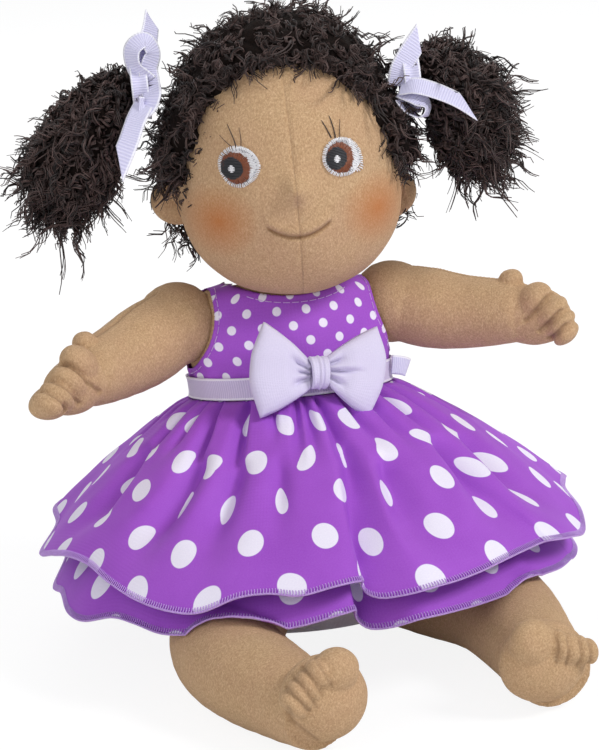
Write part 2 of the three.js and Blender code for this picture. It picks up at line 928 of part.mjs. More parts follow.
// The left back panel steps out and laps over the right one, with the two closing tapes between them.
const closingLow = waistHeight + waistRibbonWidth + gap;
const closingRoom = (low, high) =>
  slab(closingLow, torsoHeight - necklineDip, low, high).intersect(backRoom);
const hookInside = bodiceOutside + gap;
const loopInside = hookInside + tapeThickness + gap;
const flapInside = loopInside + tapeThickness + gap;
const step = layer(bodiceInside, flapInside + cloth).intersect(closingRoom(gap / 2, gap / 2 + cloth));
const flap = layer(flapInside, flapInside + cloth).intersect(closingRoom(-flapWidth, gap));
show(
  "bodice_back_left",
  bodiceBack.intersect(slab(-overrun, overrun * 4, gap / 2, overrun)).add(step).add(flap).subtract(neckline),
  dottedCotton,
);
const tapeRoom = closingRoom(-flapWidth + gap, -flapWidth + gap + tapeWidth);
show(
  "hook_tape",
  layer(hookInside, hookInside + tapeThickness).intersect(tapeRoom).subtract(neckline),
  hookTape,
);
show(
  "loop_tape",
  layer(loopInside, loopInside + tapeThickness).intersect(tapeRoom).subtract(neckline),
  hookTape,
);

const ribbonInside = bodiceOutside + gap;
const ribbonOutside = ribbonInside + ribbonThickness;
show(
  "waist_ribbon",
  layer(ribbonInside, ribbonOutside).intersect(slab(waistHeight, waistHeight + waistRibbonWidth)),
  grosgrain,
);

// Skirts
const skirtSides = 96;
const skirtSteps = 4;

// The hem of each tier all round: turn in degrees, how far it stands out as a share of foldDepth, and how
// far it lifts as a share of foldRise.
const hems = {
  under: [
    [0, 0.6, -0.1], [13, -0.8, 0.51], [27, 1, -0.35], [42, -1, 0.43], [57, 1, -0.27], [72, -1, 0.55],
    [86, 1, -0.03], [101, -0.8, 0.8], [115, 1, 0.21], [129, -1, 0.91], [143, 0.8, 0.2],
    [157, -1, 0.66], [168, -0.2, -0.11], [180, -0.4, 0.3], [192, 0.6, -0.05], [199, 0.8, -0.02],
    [206, 0, 0.48], [213, 0.2, 0.4], [221, 0.6, 0.09], [230, 0.4, 0.14], [240, 0.4, 0.08],
    [250, 0, 0.28], [259, -0.4, 0.58], [264, -0.6, 0.66], [268, 0.5, -0.08], [275, 0.6, -0.19],
    [284, 0.4, -0.19], [295, 0.2, -0.15], [309, 0.2, -0.01], [320, 0.6, -0.25], [334, 0.8, -0.32],
    [346, -0.4, 0.36],
  ],
  over: [
    [0, 1, 0], [12, -0.8, 0.61], [26, 1, -0.25], [41, -1, 0.42], [55, 1, -0.29], [70, -1, 0.53],
    [84, 1, -0.05], [99, -0.8, 0.78], [113, 1, 0.2], [128, -1, 0.91], [142, 0.8, 0.29],
    [156, -1, 0.76], [168, 0, 0.09], [180, -0.6, 0.8], [189, -0.8, 1.27], [198, -0.9, 1.34],
    [208, 0, 0.84], [217, 0.8, 0.27], [225, 1.2, -0.1], [231, 1.1, -0.13], [238, 0.2, 0.47],
    [244, -0.2, 0.59], [250, 0.1, 0.38], [256, -0.2, 0.57], [262, -0.6, 0.74], [266, -0.8, 0.79],
    [270, 0.7, -0.05], [278, 0.6, -0.1], [286, 0.4, 0.03], [295, 0, 0.25], [303, -0.3, 0.34],
    [308, 0.5, 0.23], [315, 1, -0.05], [326, 1, -0.4], [335, 0.4, 0.09], [345, -0.6, 0.66],
    [352, 0, 0.49],
  ],
};

// Each leg as a row of balls, which the skirt rests on.
const legBallCount = 24;
const legBalls = sides.flatMap((side) =>
  Array.from({ length: legBallCount + 1 }, (_, i) => {
    const share = i / legBallCount;
    return {
      centre: legPath(side).getPoint(share),
      radius: thighRadius + (ankleRadius - thighRadius) * share ** 1.5,
    };
  }),
);

// The top of the thigh or shin under a point of the skirt.
function legTop(x, y) {
  let top = 0;
  for (const { centre, radius } of legBalls) {
    const room = radius ** 2 - (x - centre.x) ** 2 - (y - centre.y) ** 2;
    if (room > 0) top = Math.max(top, centre.z + Math.sqrt(room));
  }
  return top;
}

function gather(turn) {
  return Math.cos(gatherCount * turn + 0.9 * Math.sin(2 * turn) + 0.5 * Math.sin(5 * turn));
}

// The hem's shares at a turn, on a smooth curve through its tier's rows.
function hemFold(tier, turn) {
  const rows = hems[tier];
  const degrees = ((turn / degree) % 360 + 360) % 360;
  const after = rows.findIndex(([angle]) => angle > degrees);
  const next = after < 0 ? rows.length : after;
  const [before, low, high, beyond] = [next - 2, next - 1, next, next + 1].map((i) => {
    const round = Math.floor(i / rows.length);
    const [angle, out, lift] = rows[i - round * rows.length];
    return [angle + 360 * round, out, lift];
  });
  const share = (degrees - low[0]) / (high[0] - low[0]);
  return [1, 2].map((k) => {
    const start = ((high[k] - before[k]) / (high[0] - before[0])) * (high[0] - low[0]);
    const end = ((beyond[k] - low[k]) / (beyond[0] - low[0])) * (high[0] - low[0]);
    return (
      low[k] * (2 * share ** 3 - 3 * share ** 2 + 1) +
      start * (share ** 3 - 2 * share ** 2 + share) +
      high[k] * (3 * share ** 2 - 2 * share ** 3) +
      end * (share ** 3 - share ** 2)
    );
  });
}

function skirtPoint(tier, turn, down, outside) {
  const across = Math.cos(turn);
  const back = Math.sin(turn);
  const top = leaned(
    (waistHalfWidth + outside) * across,
    (waistHalfDepth + outside) * back,
    waistHeight - gap,
  );
  const reach = back < 0 ? skirtFrontReach : skirtBackReach;
  const ahead = Math.max(0, -back) ** 2;
  const hem = corner(
    skirtReach * across,
    reach * back,
    hemLevel +
      (hemFrontLevel - hemLevel) * ahead +
      hemSideDrop * across +
      (tier === "over" ? tierRise : 0),
  );
  const swell = top.clone().lerp(hem, 0.55);
  swell.z = top.z + (hem.z - top.z) * 0.35;
  const [out, lift] = hemFold(tier, turn);
  const point = top
    .clone()
    .multiplyScalar((1 - down) ** 2)
    .addScaledVector(swell, 2 * down * (1 - down))
    .addScaledVector(hem, down ** 2);
  const outward = corner(across, back, 0.6 * down).normalize();
  const wave = gatherDepth * (1 - down) * gather(turn) + foldDepth * out * down ** 1.25;
  point.addScaledVector(outward, outside * down + wave);
  point.z += foldRise * lift * down ** 1.6;
  point.z = Math.max(point.z, legTop(point.x, point.y) + skirtRest + outside * 1.5);
  return point;
}

function skirtForm(tier, inside, spread) {
  const turns = Array.from({ length: skirtSides }, (_, i) => (i / skirtSides) * 2 * Math.PI);
  const steps = Array.from({ length: skirtSteps + 1 }, (_, s) => s / skirtSteps);
  const side = (turn, outside) =>
    steps.map((down) => skirtPoint(tier, turn, down, outside + spread * down));
  return solid(
    band(turns.map((turn) => [...side(turn, inside + cloth).reverse(), ...side(turn, inside)])),
  );
}
const underInside = gap * 2;
const overInside = underInside + cloth + gap;
show("skirt_under", skirtForm("under", underInside, 0), dottedCotton);
show("skirt_over", skirtForm("over", overInside, skirtGap), dottedCotton);

// Everything under the outer skirt and a little over it.
function skirtRoom(outside) {
  const turns = Array.from({ length: skirtSides }, (_, i) => (i / skirtSides) * 2 * Math.PI);
  const steps = Array.from({ length: skirtSteps + 1 }, (_, s) => 1 - s / skirtSteps);
  const rings = steps.map((down) =>
    turns.map((turn) =>
      skirtPoint("over", turn, down, overInside + cloth + outside + skirtGap * down),
    ),
  );
  return solid(skin(rings, corner(0, 0, hemLevel), leaned(0, 0, waistHeight)));
}

// Bow
const bowHeight = waistHeight + waistRibbonWidth * 1.1;
const bowDepth = waistHalfDepth + ribbonOutside + gap + knotHalfDepth;
const bowSections = [
  // share of the length, half depth, half height
  [0, bowThickness * 0.12, bowHalfHeight * 0.84],
  [0.03, bowThickness * 0.32, bowHalfHeight],
  [0.14, bowThickness * 0.5, bowHalfHeight * 0.92],
  [0.3, bowThickness * 0.46, bowHalfHeight * 0.62],
  [0.44, bowThickness * 0.33, bowPinch],
  [0.5, bowThickness * 0.28, bowPinch * 0.85],
];
const bowEnds = [
  ...bowSections,
  ...bowSections.slice(0, -1).reverse().map(([share, depth, height]) => [1 - share, depth, height]),
];
const bowPath = new THREE.LineCurve3(corner(-bowHalfLength, 0, 0), corner(bowHalfLength, 0, 0));
const bowPlace = new THREE.Matrix4()
  .makeTranslation(...leaned(0, -bowDepth, bowHeight).toArray())
  .multiply(new THREE.Matrix4().makeRotationX(-bowTiltDegrees * degree))
  .multiply(new THREE.Matrix4().makeRotationY(bowRollDegrees * degree));
const bowRoom = torsoForm(ribbonOutside + gap).add(skirtRoom(gap));
const bow = solid(stuffed(bowPath, front, bowEnds, 14, 14).applyMatrix4(bowPlace)).subtract(
  bowRoom,
);
show("bow", bow, whiteCotton);

// The knot is a band round the pinched middle of the bow.
function roundedLoop(halfDepth, halfHeight, across, count) {
  return Array.from({ length: count }, (_, i) => {
    const turn = (i / count) * 2 * Math.PI;
    return corner(across, halfDepth * Math.cos(turn), halfHeight * Math.sin(turn));
  });
}
const knotTurns = 18;
const knotInside = [bowThickness * 0.36 + gap, bowPinch * 1.06 + gap];
const knotLoops = [
  roundedLoop(knotHalfDepth, knotHalfHeight, -knotHalfWidth, knotTurns),
  roundedLoop(knotHalfDepth, knotHalfHeight, knotHalfWidth, knotTurns),
  roundedLoop(knotInside[0], knotInside[1], knotHalfWidth, knotTurns),
  roundedLoop(knotInside[0], knotInside[1], -knotHalfWidth, knotTurns),
];
const knotProfiles = Array.from({ length: knotTurns }, (_, i) => knotLoops.map((loop) => loop[i]));
const knot = solid(band(knotProfiles).applyMatrix4(bowPlace)).subtract(bowRoom);
show("bow_knot", knot, whiteCotton);

export default doll;
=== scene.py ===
"""A seated cloth doll: stuffed fleece skin, curled hair in two ponytails, a dotted dress with a bow."""

from math import degrees as in_degrees
from math import acos, atan2, cos, exp, hypot, pi, radians, sin, sqrt, tau

import bmesh
import bpy
import numpy as np
from mathutils import Matrix, Vector


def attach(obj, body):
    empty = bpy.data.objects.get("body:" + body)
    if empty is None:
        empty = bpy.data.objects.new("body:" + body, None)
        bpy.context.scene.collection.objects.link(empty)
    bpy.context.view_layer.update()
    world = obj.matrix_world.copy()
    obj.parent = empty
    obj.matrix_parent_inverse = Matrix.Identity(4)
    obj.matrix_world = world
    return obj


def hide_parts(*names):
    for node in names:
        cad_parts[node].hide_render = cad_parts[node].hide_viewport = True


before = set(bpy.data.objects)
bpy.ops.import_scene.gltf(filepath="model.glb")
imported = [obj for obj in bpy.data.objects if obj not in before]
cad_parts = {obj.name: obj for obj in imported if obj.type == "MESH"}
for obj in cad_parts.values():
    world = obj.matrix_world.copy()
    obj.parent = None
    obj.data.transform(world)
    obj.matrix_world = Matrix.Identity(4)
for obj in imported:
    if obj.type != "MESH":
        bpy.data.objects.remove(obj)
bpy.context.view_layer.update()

bl_info = {
    "name": "Cloth Doll",
    "version": (1, 0, 0),
    "blender": (4, 5, 0),
    "location": "View3D > Sidebar > Doll",
    "description": "Builds a seated cloth doll with curled ponytails and a gathered dress",
    "category": "Add Mesh",
}

MM = 0.001
SIDES = {"left": 1, "right": -1}


# Sizes of the packed part, in mm ----------

LEAN = Matrix.Rotation(radians(-8), 4, "X")
WAIST, TOP = 90.0, 131.0
SEAT_WIDE, SEAT_DEEP = 43.0, 36.0
WAIST_WIDE, WAIST_DEEP = 36.5, 28.0
SHOULDER_WIDE, SHOULDER_DEEP = 38.0, 21.0
HEAD_WIDE, HEAD_DEEP, CROWN, CHIN, JAW = 40.5, 39.0, 51.0, 42.5, 12.0
TIE_OUT = {"left": 42.0, "right": 45.0}
TIE_UP = {"left": 28.0, "right": 36.0}
ARM_FALL = {"left": 1.0, "right": 8.0}
KNEE = {"left": (25.0, 44.0), "right": (26.0, 62.0)}
ANKLE = {"left": (24.0, 114.0), "right": (11.0, 120.0)}
FOOT_ROLL = {"left": 6.0, "right": 28.0}
EAR_DROP = {"left": 14.0, "right": 7.0}
EAR_BACK = {"left": 9.0, "right": 4.0}
EAR_TUCK = {"left": 3.6, "right": 0.0}
EAR_WIDE, EAR_DEEP, EAR_HIGH = 10.5, 4.6, 9.5
FOOT_RISE = {"left": 5.0, "right": 6.0}
FOOT_INSET = {"left": 4.5, "right": 1.5}
THIGH, SHIN, ARM, WRIST = 20.5, 15.5, 15.5, 12.0
# The flat under the thigh where the doll sits.
SEAT_FLAT = 0.5
RIBBON = 8.0
UNDERPANTS_TOP = 46
# The large print: from dot to dot along a row, and from row to row.
PRINT = (31.0, 17.0)


def leaned(across, back, height):
    """A point of the torso: across, back and up its leaning axis."""
    return LEAN @ Vector((across, back, height))


NOD = leaned(0, 0, TOP + 12)
HEAD = (
    Matrix.Translation(NOD)
    @ Matrix.Rotation(radians(-13), 4, "Z")
    @ Matrix.Translation((3, -11, 30))
    @ Matrix.Rotation(radians(-3.5), 4, "Y")
)


def smooth(low, high, value):
    """0 below low, 1 above high, and an even ease between them."""
    share = min(1.0, max(0.0, (value - low) / (high - low)))
    return share * share * (3 - 2 * share)


def bell(distance, width):
    """1 at no distance, and an even fall to 0 beyond this width."""
    return exp(-((distance / width) ** 2))


def eased(low, high, start, end, share):
    """The value at a share of the curve from low to high that leaves and arrives at these slopes."""
    s = share
    return (
        low * (2 * s**3 - 3 * s**2 + 1)
        + start * (s**3 - 2 * s**2 + s)
        + high * (3 * s**2 - 2 * s**3)
        + end * (s**3 - s**2)
    )


def spline(points, share):
    """A point of the centripetal curve through the points, share 0 to 1."""
    points = [Vector(p) for p in points]
    last = len(points) - 1
    place = min(max(share, 0.0), 1.0) * last
    first = min(int(place), last - 1)
    rest = place - first
    b, c = points[first], points[first + 1]
    a = points[first - 1] if first else b + b - c
    d = points[first + 2] if first + 2 <= last else c + c - b
    steps = [max((q - p).length_squared ** 0.25, 1e-4) for p, q in ((a, b), (b, c), (c, d))]
    s, t, u = steps
    start = ((b - a) / s - (c - a) / (s + t) + (c - b) / t) * t
    end = ((c - b) / t - (d - b) / (t + u) + (d - c) / u) * t
    return (
        b
        + start * rest
        + (3 * (c - b) - 2 * start - end) * rest**2
        + (2 * (b - c) + start + end) * rest**3
    )


def heading(points, share):
    return (spline(points, min(1, share + 0.01)) - spline(points, max(0, share - 0.01))).normalized()


# The torso's half width and half depth at heights of its axis.
TORSO_ROWS = [
    (0, SEAT_WIDE * 0.7, SEAT_DEEP * 0.7),
    (WAIST * 0.06, SEAT_WIDE * 0.88, SEAT_DEEP * 0.88),
    (WAIST * 0.17, SEAT_WIDE * 0.97, SEAT_DEEP * 0.97),
    (WAIST * 0.36, SEAT_WIDE, SEAT_DEEP),
    (WAIST * 0.7, SEAT_WIDE * 0.96, SEAT_DEEP * 0.93),
    (WAIST, WAIST_WIDE, WAIST_DEEP),
    (WAIST + 22.55, SHOULDER_WIDE * 1.03, SHOULDER_DEEP * 1.06),
    (WAIST + 33.2, SHOULDER_WIDE * 0.96, SHOULDER_DEEP * 0.92),
    (WAIST + 38.5, SHOULDER_WIDE * 0.82, SHOULDER_DEEP * 0.8),
    (TOP, SHOULDER_WIDE * 0.58, SHOULDER_DEEP * 0.58),
]


def torso_size(height):
    """Half width and half depth of the torso at a height of its axis."""
    rows = TORSO_ROWS
    height = min(max(height, 0), TOP)
    last = len(rows) - 1
    first = max(i for i in range(last) if rows[i][0] <= height or i == 0)
    low, high = rows[first], rows[first + 1]
    share = (height - low[0]) / (high[0] - low[0])
    before = rows[max(0, first - 1)]
    after = rows[min(last, first + 2)]
    sizes = []
    for k in (1, 2):
        span = high[0] - low[0]
        rise_in = (high[k] - before[k]) / max(high[0] - before[0], 1e-6) * span
        rise_out = (after[k] - low[k]) / max(after[0] - low[0], 1e-6) * span
        sizes.append(eased(low[k], high[k], rise_in, rise_out, share))
    return sizes


def torso_point(turn, height, outside):
    wide, deep = torso_size(height)
    return leaned((wide + outside) * cos(turn), (deep + outside) * sin(turn), height)


def tie_base(side):
    """Where a ponytail is tied, in the head's own axes."""
    return Vector((SIDES[side] * TIE_OUT[side], 0, TIE_UP[side]))


# How square the lower face is: 2 is round.
JAW_SQUARE = 2.4


def cheek_width(up):
    """How much wider the cheeks make the head at a share up it, -1 to 1."""
    return 1 + 0.12 * max(0.0, -up) * (1 + up)


def head_unit(point):
    """The direction of a point of the head, in its own axes, on a ball of one mm."""
    return Vector((point.x / HEAD_WIDE, point.y / HEAD_DEEP, point.z / CROWN)).normalized()


def head_surface(unit, outside):
    """A point that far outside the head's skin, in the head's own axes."""
    rise = CROWN if unit.z > 0 else CHIN
    low = min(0.0, unit.z)
    cheek = cheek_width(unit.z)
    full = 1.0
    flat = hypot(unit.x, unit.z)
    if unit.z < 0 and flat > 0.01:
        sides = abs(unit.x / flat) ** JAW_SQUARE + abs(unit.z / flat) ** JAW_SQUARE
        full += (sides ** (-1 / JAW_SQUARE) - 1) * flat**4
    return Vector(
        (
            unit.x * (HEAD_WIDE + outside) * cheek * full,
            unit.y * (HEAD_DEEP + outside) - JAW * low**2,
            unit.z * (rise + outside) * full,
        )
    )


def face_point(across, height, outside=0.0):
    """A point in front of the face, in the head's own axes."""
    rise = CROWN if height > 0 else CHIN
    up = height / rise
    side = across / (HEAD_WIDE * cheek_width(up))
    unit = Vector((side, -sqrt(max(0.0, 1 - side**2 - up**2)), up))
    skin = head_surface(unit, outside)
    skin.y -= face_swell(across, height)
    return skin


# Materials ----------


def tint(code):
    """An sRGB hex colour as linear red, green, blue and alpha."""
    shares = [int(code[i : i + 2], 16) / 255 for i in (1, 3, 5)]
    return tuple(s / 12.92 if s <= 0.04045 else ((s + 0.055) / 1.055) ** 2.4 for s in shares) + (1.0,)


def opaque(colour):
    """A property's colour with full alpha."""
    return tuple(colour) + (1.0,)


def per_mm(size):
    """The texture scale at which one feature of a pattern in metres is this many mm."""
    return 1 / (size * MM)


def band_scale(size):
    """The wave texture's scale at which one of its bands is this many mm wide."""
    return per_mm(size) / 20 * tau


def new_material(name):
    """A new material's node tree and its surface shader."""
    material = bpy.data.materials.new(name)
    material.use_nodes = True
    return material.node_tree, material.node_tree.nodes["Principled BSDF"]


def feed(node, inputs):
    """Gives each input its value, or its link where that is another node's output."""
    for key, value in dict(inputs).items():
        if isinstance(value, bpy.types.NodeSocket):
            node.id_data.links.new(value, node.inputs[key])
        else:
            node.inputs[key].default_value = value


def add_node(tree, kind, inputs=(), out=0, **settings):
    """Adds a node with its settings and inputs, and hands back one of its outputs."""
    node = tree.nodes.new(f"ShaderNode{kind}")
    for key, value in settings.items():
        setattr(node, key, value)
    feed(node, inputs)
    return node.outputs[out]


def grains(where, size, detail=2.0, rough=0.6):
    """Noise inputs for a pattern that changes over about this many mm."""
    return {"Vector": where, "Scale": per_mm(size), "Detail": detail, "Roughness": rough}


def relief(height, depth, strength):
    """Bump inputs for a pattern that stands this many mm high."""
    return {"Height": height, "Distance": depth * MM, "Strength": strength}


def coated(tree, colour, *coats):
    """Lays coats over a colour. Each is a pattern, the low and high value between which it comes to
    show (and how much it shows at each, if not 0 and 1), and the coat's own colour."""
    for share, ends, coat in coats:
        if ends:
            share = add_node(tree, "MapRange", {0: share, **dict(enumerate(ends, 1))}, clamp=True)
        colour = add_node(tree, "Mix", {0: share, 6: colour, 7: coat}, 2, data_type="RGBA")
    return colour


# The middle of each cheek's blush, across and up the face in mm.
CHEEKS = [(-28.0, -10.5), (29.5, -12.0)]


def face_map(across, height):
    """A point's place on the map of the face, which is 100 mm wide and high."""
    return 0.5 + across * 0.01, 0.5 + height * 0.01


def fleece_material(name, face=False):
    """Brushed polyester fleece: a short matt pile with a fine grain and soft bright edges."""
    skin = bpy.context.scene.doll_skin
    tree, shader = new_material(name)
    where = add_node(tree, "TexCoord", out="Object")
    pile = add_node(tree, "Mapping", {"Vector": where, "Scale": (1.0, 1.0, 0.7)})
    grain = add_node(tree, "TexNoise", grains(pile, skin.grain, 3.0, 0.75), "Fac")
    drift = add_node(tree, "TexNoise", grains(where, 16.0), "Fac")
    colour = coated(
        tree, tint("#AC8963"), (grain, (0.3, 0.7), opaque(skin.colour)),
        (grain, (0.55, 0.8, 0.0, 0.3), tint("#EED8B8")), (drift, (0.35, 0.7, 0.0, 0.16), tint("#C0917A")),
    )
    # Painted shade: each form's crease layer darkens its seams, stitched lines, folds and dents.
    crease = add_node(tree, "Attribute", out="Fac", attribute_name="crease")
    if face:
        place = add_node(tree, "UVMap", uv_map="face")
        fine = add_node(tree, "MapRange", {0: grain, 1: 0.3, 2: 0.7})
        for cheek in CHEEKS:
            spot = (*face_map(*cheek), 0.0)
            away = add_node(tree, "VectorMath", {0: place, 1: spot}, "Value", operation="DISTANCE")
            ragged = add_node(tree, "Math", {0: fine, 1: 0.015, 2: away}, operation="MULTIPLY_ADD")
            colour = coated(tree, colour, (ragged, (0.005, 0.15, 0.85, 0.0), opaque(skin.blush)))
        # Painted shade along the centre seam's groove, patchy along its length.
        across = add_node(tree, "SeparateXYZ", {0: place})
        beside = add_node(tree, "Math", {0: across, 1: 0.5}, operation="SUBTRACT")
        beside = add_node(tree, "Math", {0: beside}, operation="ABSOLUTE")
        seam = add_node(tree, "MapRange", {0: beside, 1: 0.001, 2: 0.0045, 3: 0.34, 4: 0.0})
        patchy_seam_shade = add_node(tree, "MapRange", {0: drift, 1: 0.3, 2: 0.55, 3: 0.5, 4: 1.0})
        seam = add_node(tree, "Math", {0: seam, 1: patchy_seam_shade}, operation="MULTIPLY")
        # Painted shade along the centre seam and in the creases.
        colour = coated(tree, colour, (seam, None, tint("#7E6248")), (crease, None, tint("#70492C")))
    else:
        # Painted shade in the creases.
        shade = add_node(tree, "Math", {0: crease, 1: 0.75}, operation="MULTIPLY")
        colour = coated(tree, colour, (shade, None, tint("#7A5C42")))
    feed(shader, {
        "Base Color": colour,
        "Roughness": 0.95,
        "Specular IOR Level": 0.15,
        "Sheen Weight": 0.2,
        "Sheen Roughness": 0.5,
        "Sheen Tint": tint("#F1DCC0"),
        "Normal": add_node(tree, "Bump", relief(grain, 0.8, 0.6)),
    })


def hair_material():
    """Curled mohair pile: near black strands with a soft brown shine, each a little different."""
    hair = bpy.context.scene.doll_hair
    tree, shader = new_material("curled_mohair_pile")
    where = add_node(tree, "TexCoord", out="Object")
    clumps = add_node(tree, "TexNoise", grains(where, 5.0), "Fac")
    strand = add_node(tree, "NewGeometry", out="Random Per Island")
    clumps = add_node(tree, "Math", {0: clumps, 1: 0.5}, operation="MULTIPLY")
    tone = add_node(tree, "Math", {0: strand, 1: 0.6, 2: clumps}, operation="MULTIPLY_ADD")
    rough = add_node(tree, "TexNoise", grains(where, 0.5), "Fac")
    feed(shader, {
        "Base Color": coated(tree, opaque(hair.dark), (tone, (0.3, 0.95), opaque(hair.light))),
        "Roughness": 0.5,
        "Specular IOR Level": 0.35,
        "Normal": add_node(tree, "Bump", relief(rough, 0.1, 0.4)),
    })


def hair_shade_material():
    """The knitted back of the pile: almost black and matt, seen only between the curls."""
    tree, shader = new_material("hair_shade_under_form")
    where = add_node(tree, "TexCoord", out="Object")
    mottle = add_node(tree, "TexNoise", grains(where, 1.2, 3.0), "Fac")
    feed(shader, {
        "Base Color": coated(tree, tint("#0C0807"), (mottle, (0.3, 0.7), tint("#1E1512"))),
        "Roughness": 0.9,
        "Specular IOR Level": 0.1,
        "Normal": add_node(tree, "Bump", relief(mottle, 0.8, 0.8)),
    })


def weave(tree, flat, pitch, depth, strength):
    """Crossed threads at this pitch in mm, as bump. Each band stands for two threads, so that it shows."""
    threads = {"Vector": flat, "Scale": band_scale(pitch) / 2, "Distortion": 0.4}
    crossed = {
        i: add_node(tree, "TexWave", threads, "Fac", wave_type="BANDS", bands_direction=axis)
        for i, axis in enumerate("XY")
    }
    height = add_node(tree, "Math", crossed, operation="ADD")
    return add_node(tree, "Bump", relief(height, depth, strength))


def dotted_material(name, dot_radius, along, down):
    """Printed cotton poplin: purple with white dots in staggered rows, smooth with a fine weave."""
    dress = bpy.context.scene.doll_dress
    tree, shader = new_material(name)
    flat = add_node(tree, "UVMap", uv_map="flat")
    across = add_node(tree, "SeparateXYZ", {0: flat})
    row_place = add_node(tree, "Math", {0: across.node.outputs[1], 1: down * MM}, operation="DIVIDE")
    row = add_node(tree, "Math", {0: row_place}, operation="FLOOR")
    odd = add_node(tree, "Math", {0: row, 1: 2.0}, operation="MODULO")
    shift = add_node(tree, "Math", {0: odd, 1: 0.5}, operation="MULTIPLY")
    places = {0: across, 1: 1 / (along * MM), 2: shift}
    column_place = add_node(tree, "Math", places, operation="MULTIPLY_ADD")
    squares = {}
    for i, (value, size) in enumerate(((column_place, along), (row_place, down))):
        share = add_node(tree, "Math", {0: value}, operation="FRACT")
        away = add_node(tree, "Math", {0: share, 1: 0.5}, operation="SUBTRACT")
        away = add_node(tree, "Math", {0: away, 1: size}, operation="MULTIPLY")
        squares[i] = add_node(tree, "Math", {0: away, 1: 2.0}, operation="POWER")
    total = add_node(tree, "Math", squares, operation="ADD")
    distance = add_node(tree, "Math", {0: total}, operation="SQRT")
    drift = add_node(tree, "TexNoise", grains(flat, 30.0, 3.0), "Fac")
    threads = add_node(tree, "TexNoise", grains(flat, 0.55, rough=0.7), "Fac")
    inside = add_node(tree, "NewGeometry", out="Backfacing")
    inside = add_node(tree, "Math", {0: inside, 1: 0.6}, operation="MULTIPLY")
    white = coated(
        tree, tint("#EFEAF8"), (threads, (0.3, 0.7, 0.0, 0.3), tint("#D6CEE8")),
        (inside, None, tint("#B98FD2")),
    )
    colour = coated(
        tree,
        tint("#9848C0"),
        (drift, (0.3, 0.7), opaque(dress.colour)),
        (threads, (0.35, 0.7, 0.0, 0.3), tint("#AE6AD2")),
        (distance, (dot_radius - 0.14, dot_radius + 0.14, 1.0, 0.0), white),
    )
    feed(shader, {
        "Base Color": colour,
        "Roughness": 0.68,
        "Specular IOR Level": 0.25,
        "Sheen Weight": 0.05,
        "Sheen Tint": tint("#E3C4F5"),
        "Normal": weave(tree, flat, 0.7, 0.06, 0.3),
    })


def cotton_material(name, colour, shade, pitch):
    """Plain woven cotton: matt white with faint threads and soft grey-lilac shade."""
    tree, shader = new_material(name)
    flat = add_node(tree, "UVMap", uv_map="flat")
    threads = add_node(tree, "TexNoise", grains(flat, 0.6, rough=0.7), "Fac")
    feed(shader, {
        "Base Color": coated(tree, tint(colour), (threads, (0.3, 0.75, 0.0, 0.4), tint(shade))),
        "Roughness": 0.75,
        "Sheen Weight": 0.1,
        "Normal": weave(tree, flat, pitch, 0.08, 0.4),
    })


def grosgrain_material(name, colour, shade):
    """Grosgrain ribbon: fine raised ribs across its width and smooth woven edges."""
    tree, shader = new_material(name)
    flat = add_node(tree, "UVMap", uv_map="flat")
    rows = {"Vector": flat, "Scale": band_scale(0.85), "Distortion": 0.15}
    ribs = add_node(tree, "TexWave", rows, "Fac", wave_type="BANDS", bands_direction="X")
    down = add_node(tree, "SeparateXYZ", {0: flat}, 1)
    edge = add_node(tree, "Math", {0: down, 1: RIBBON / 2 * MM}, operation="SUBTRACT")
    edge = add_node(tree, "Math", {0: edge}, operation="ABSOLUTE")
    smooth_edge = coated(tree, tint(colour), (0.5, None, tint("#FFFFFF")))
    band = coated(
        tree, tint(colour), (ribs, (0.2, 0.9, 0.55, 0.0), tint(shade)),
        (edge, (3.1 * MM, 3.4 * MM), smooth_edge),
    )
    feed(shader, {
        "Base Color": band,
        "Roughness": 0.5,
        "Sheen Weight": 0.15,
        "Normal": add_node(tree, "Bump", relief(ribs, 0.16, 0.6)),
    })


def thread_material(name, colour, rough):
    """Twisted embroidery thread: smooth with a silky shine along each stitch."""
    tree, shader = new_material(name)
    where = add_node(tree, "TexCoord", out="Object")
    tone = add_node(tree, "TexNoise", grains(where, 0.7), "Fac")
    dark = opaque(c * 0.62 for c in tint(colour)[:3])
    twist = add_node(tree, "TexNoise", grains(where, 0.25, 1.0), "Fac")
    feed(shader, {
        "Base Color": coated(tree, tint(colour), (tone, (0.3, 0.65, 0.6, 0.0), dark)),
        "Roughness": rough,
        "Sheen Weight": 0.1,
        "Normal": add_node(tree, "Bump", relief(twist, 0.05, 0.4)),
    })


def tape_material():
    """Hook and loop tape: white nylon with a bristly woven face."""
    tree, shader = new_material("hook_and_loop_tape")
    flat = add_node(tree, "UVMap", uv_map="flat")
    hooks = add_node(tree, "TexVoronoi", {"Vector": flat, "Scale": per_mm(0.9)}, "Distance")
    feed(shader, {
        "Base Color": coated(tree, tint("#F4F1F8"), (hooks, (0.1, 0.6), tint("#C9C3D4"))),
        "Roughness": 0.7,
        "Normal": add_node(tree, "Bump", relief(hooks, 0.5, 0.8)),
    })


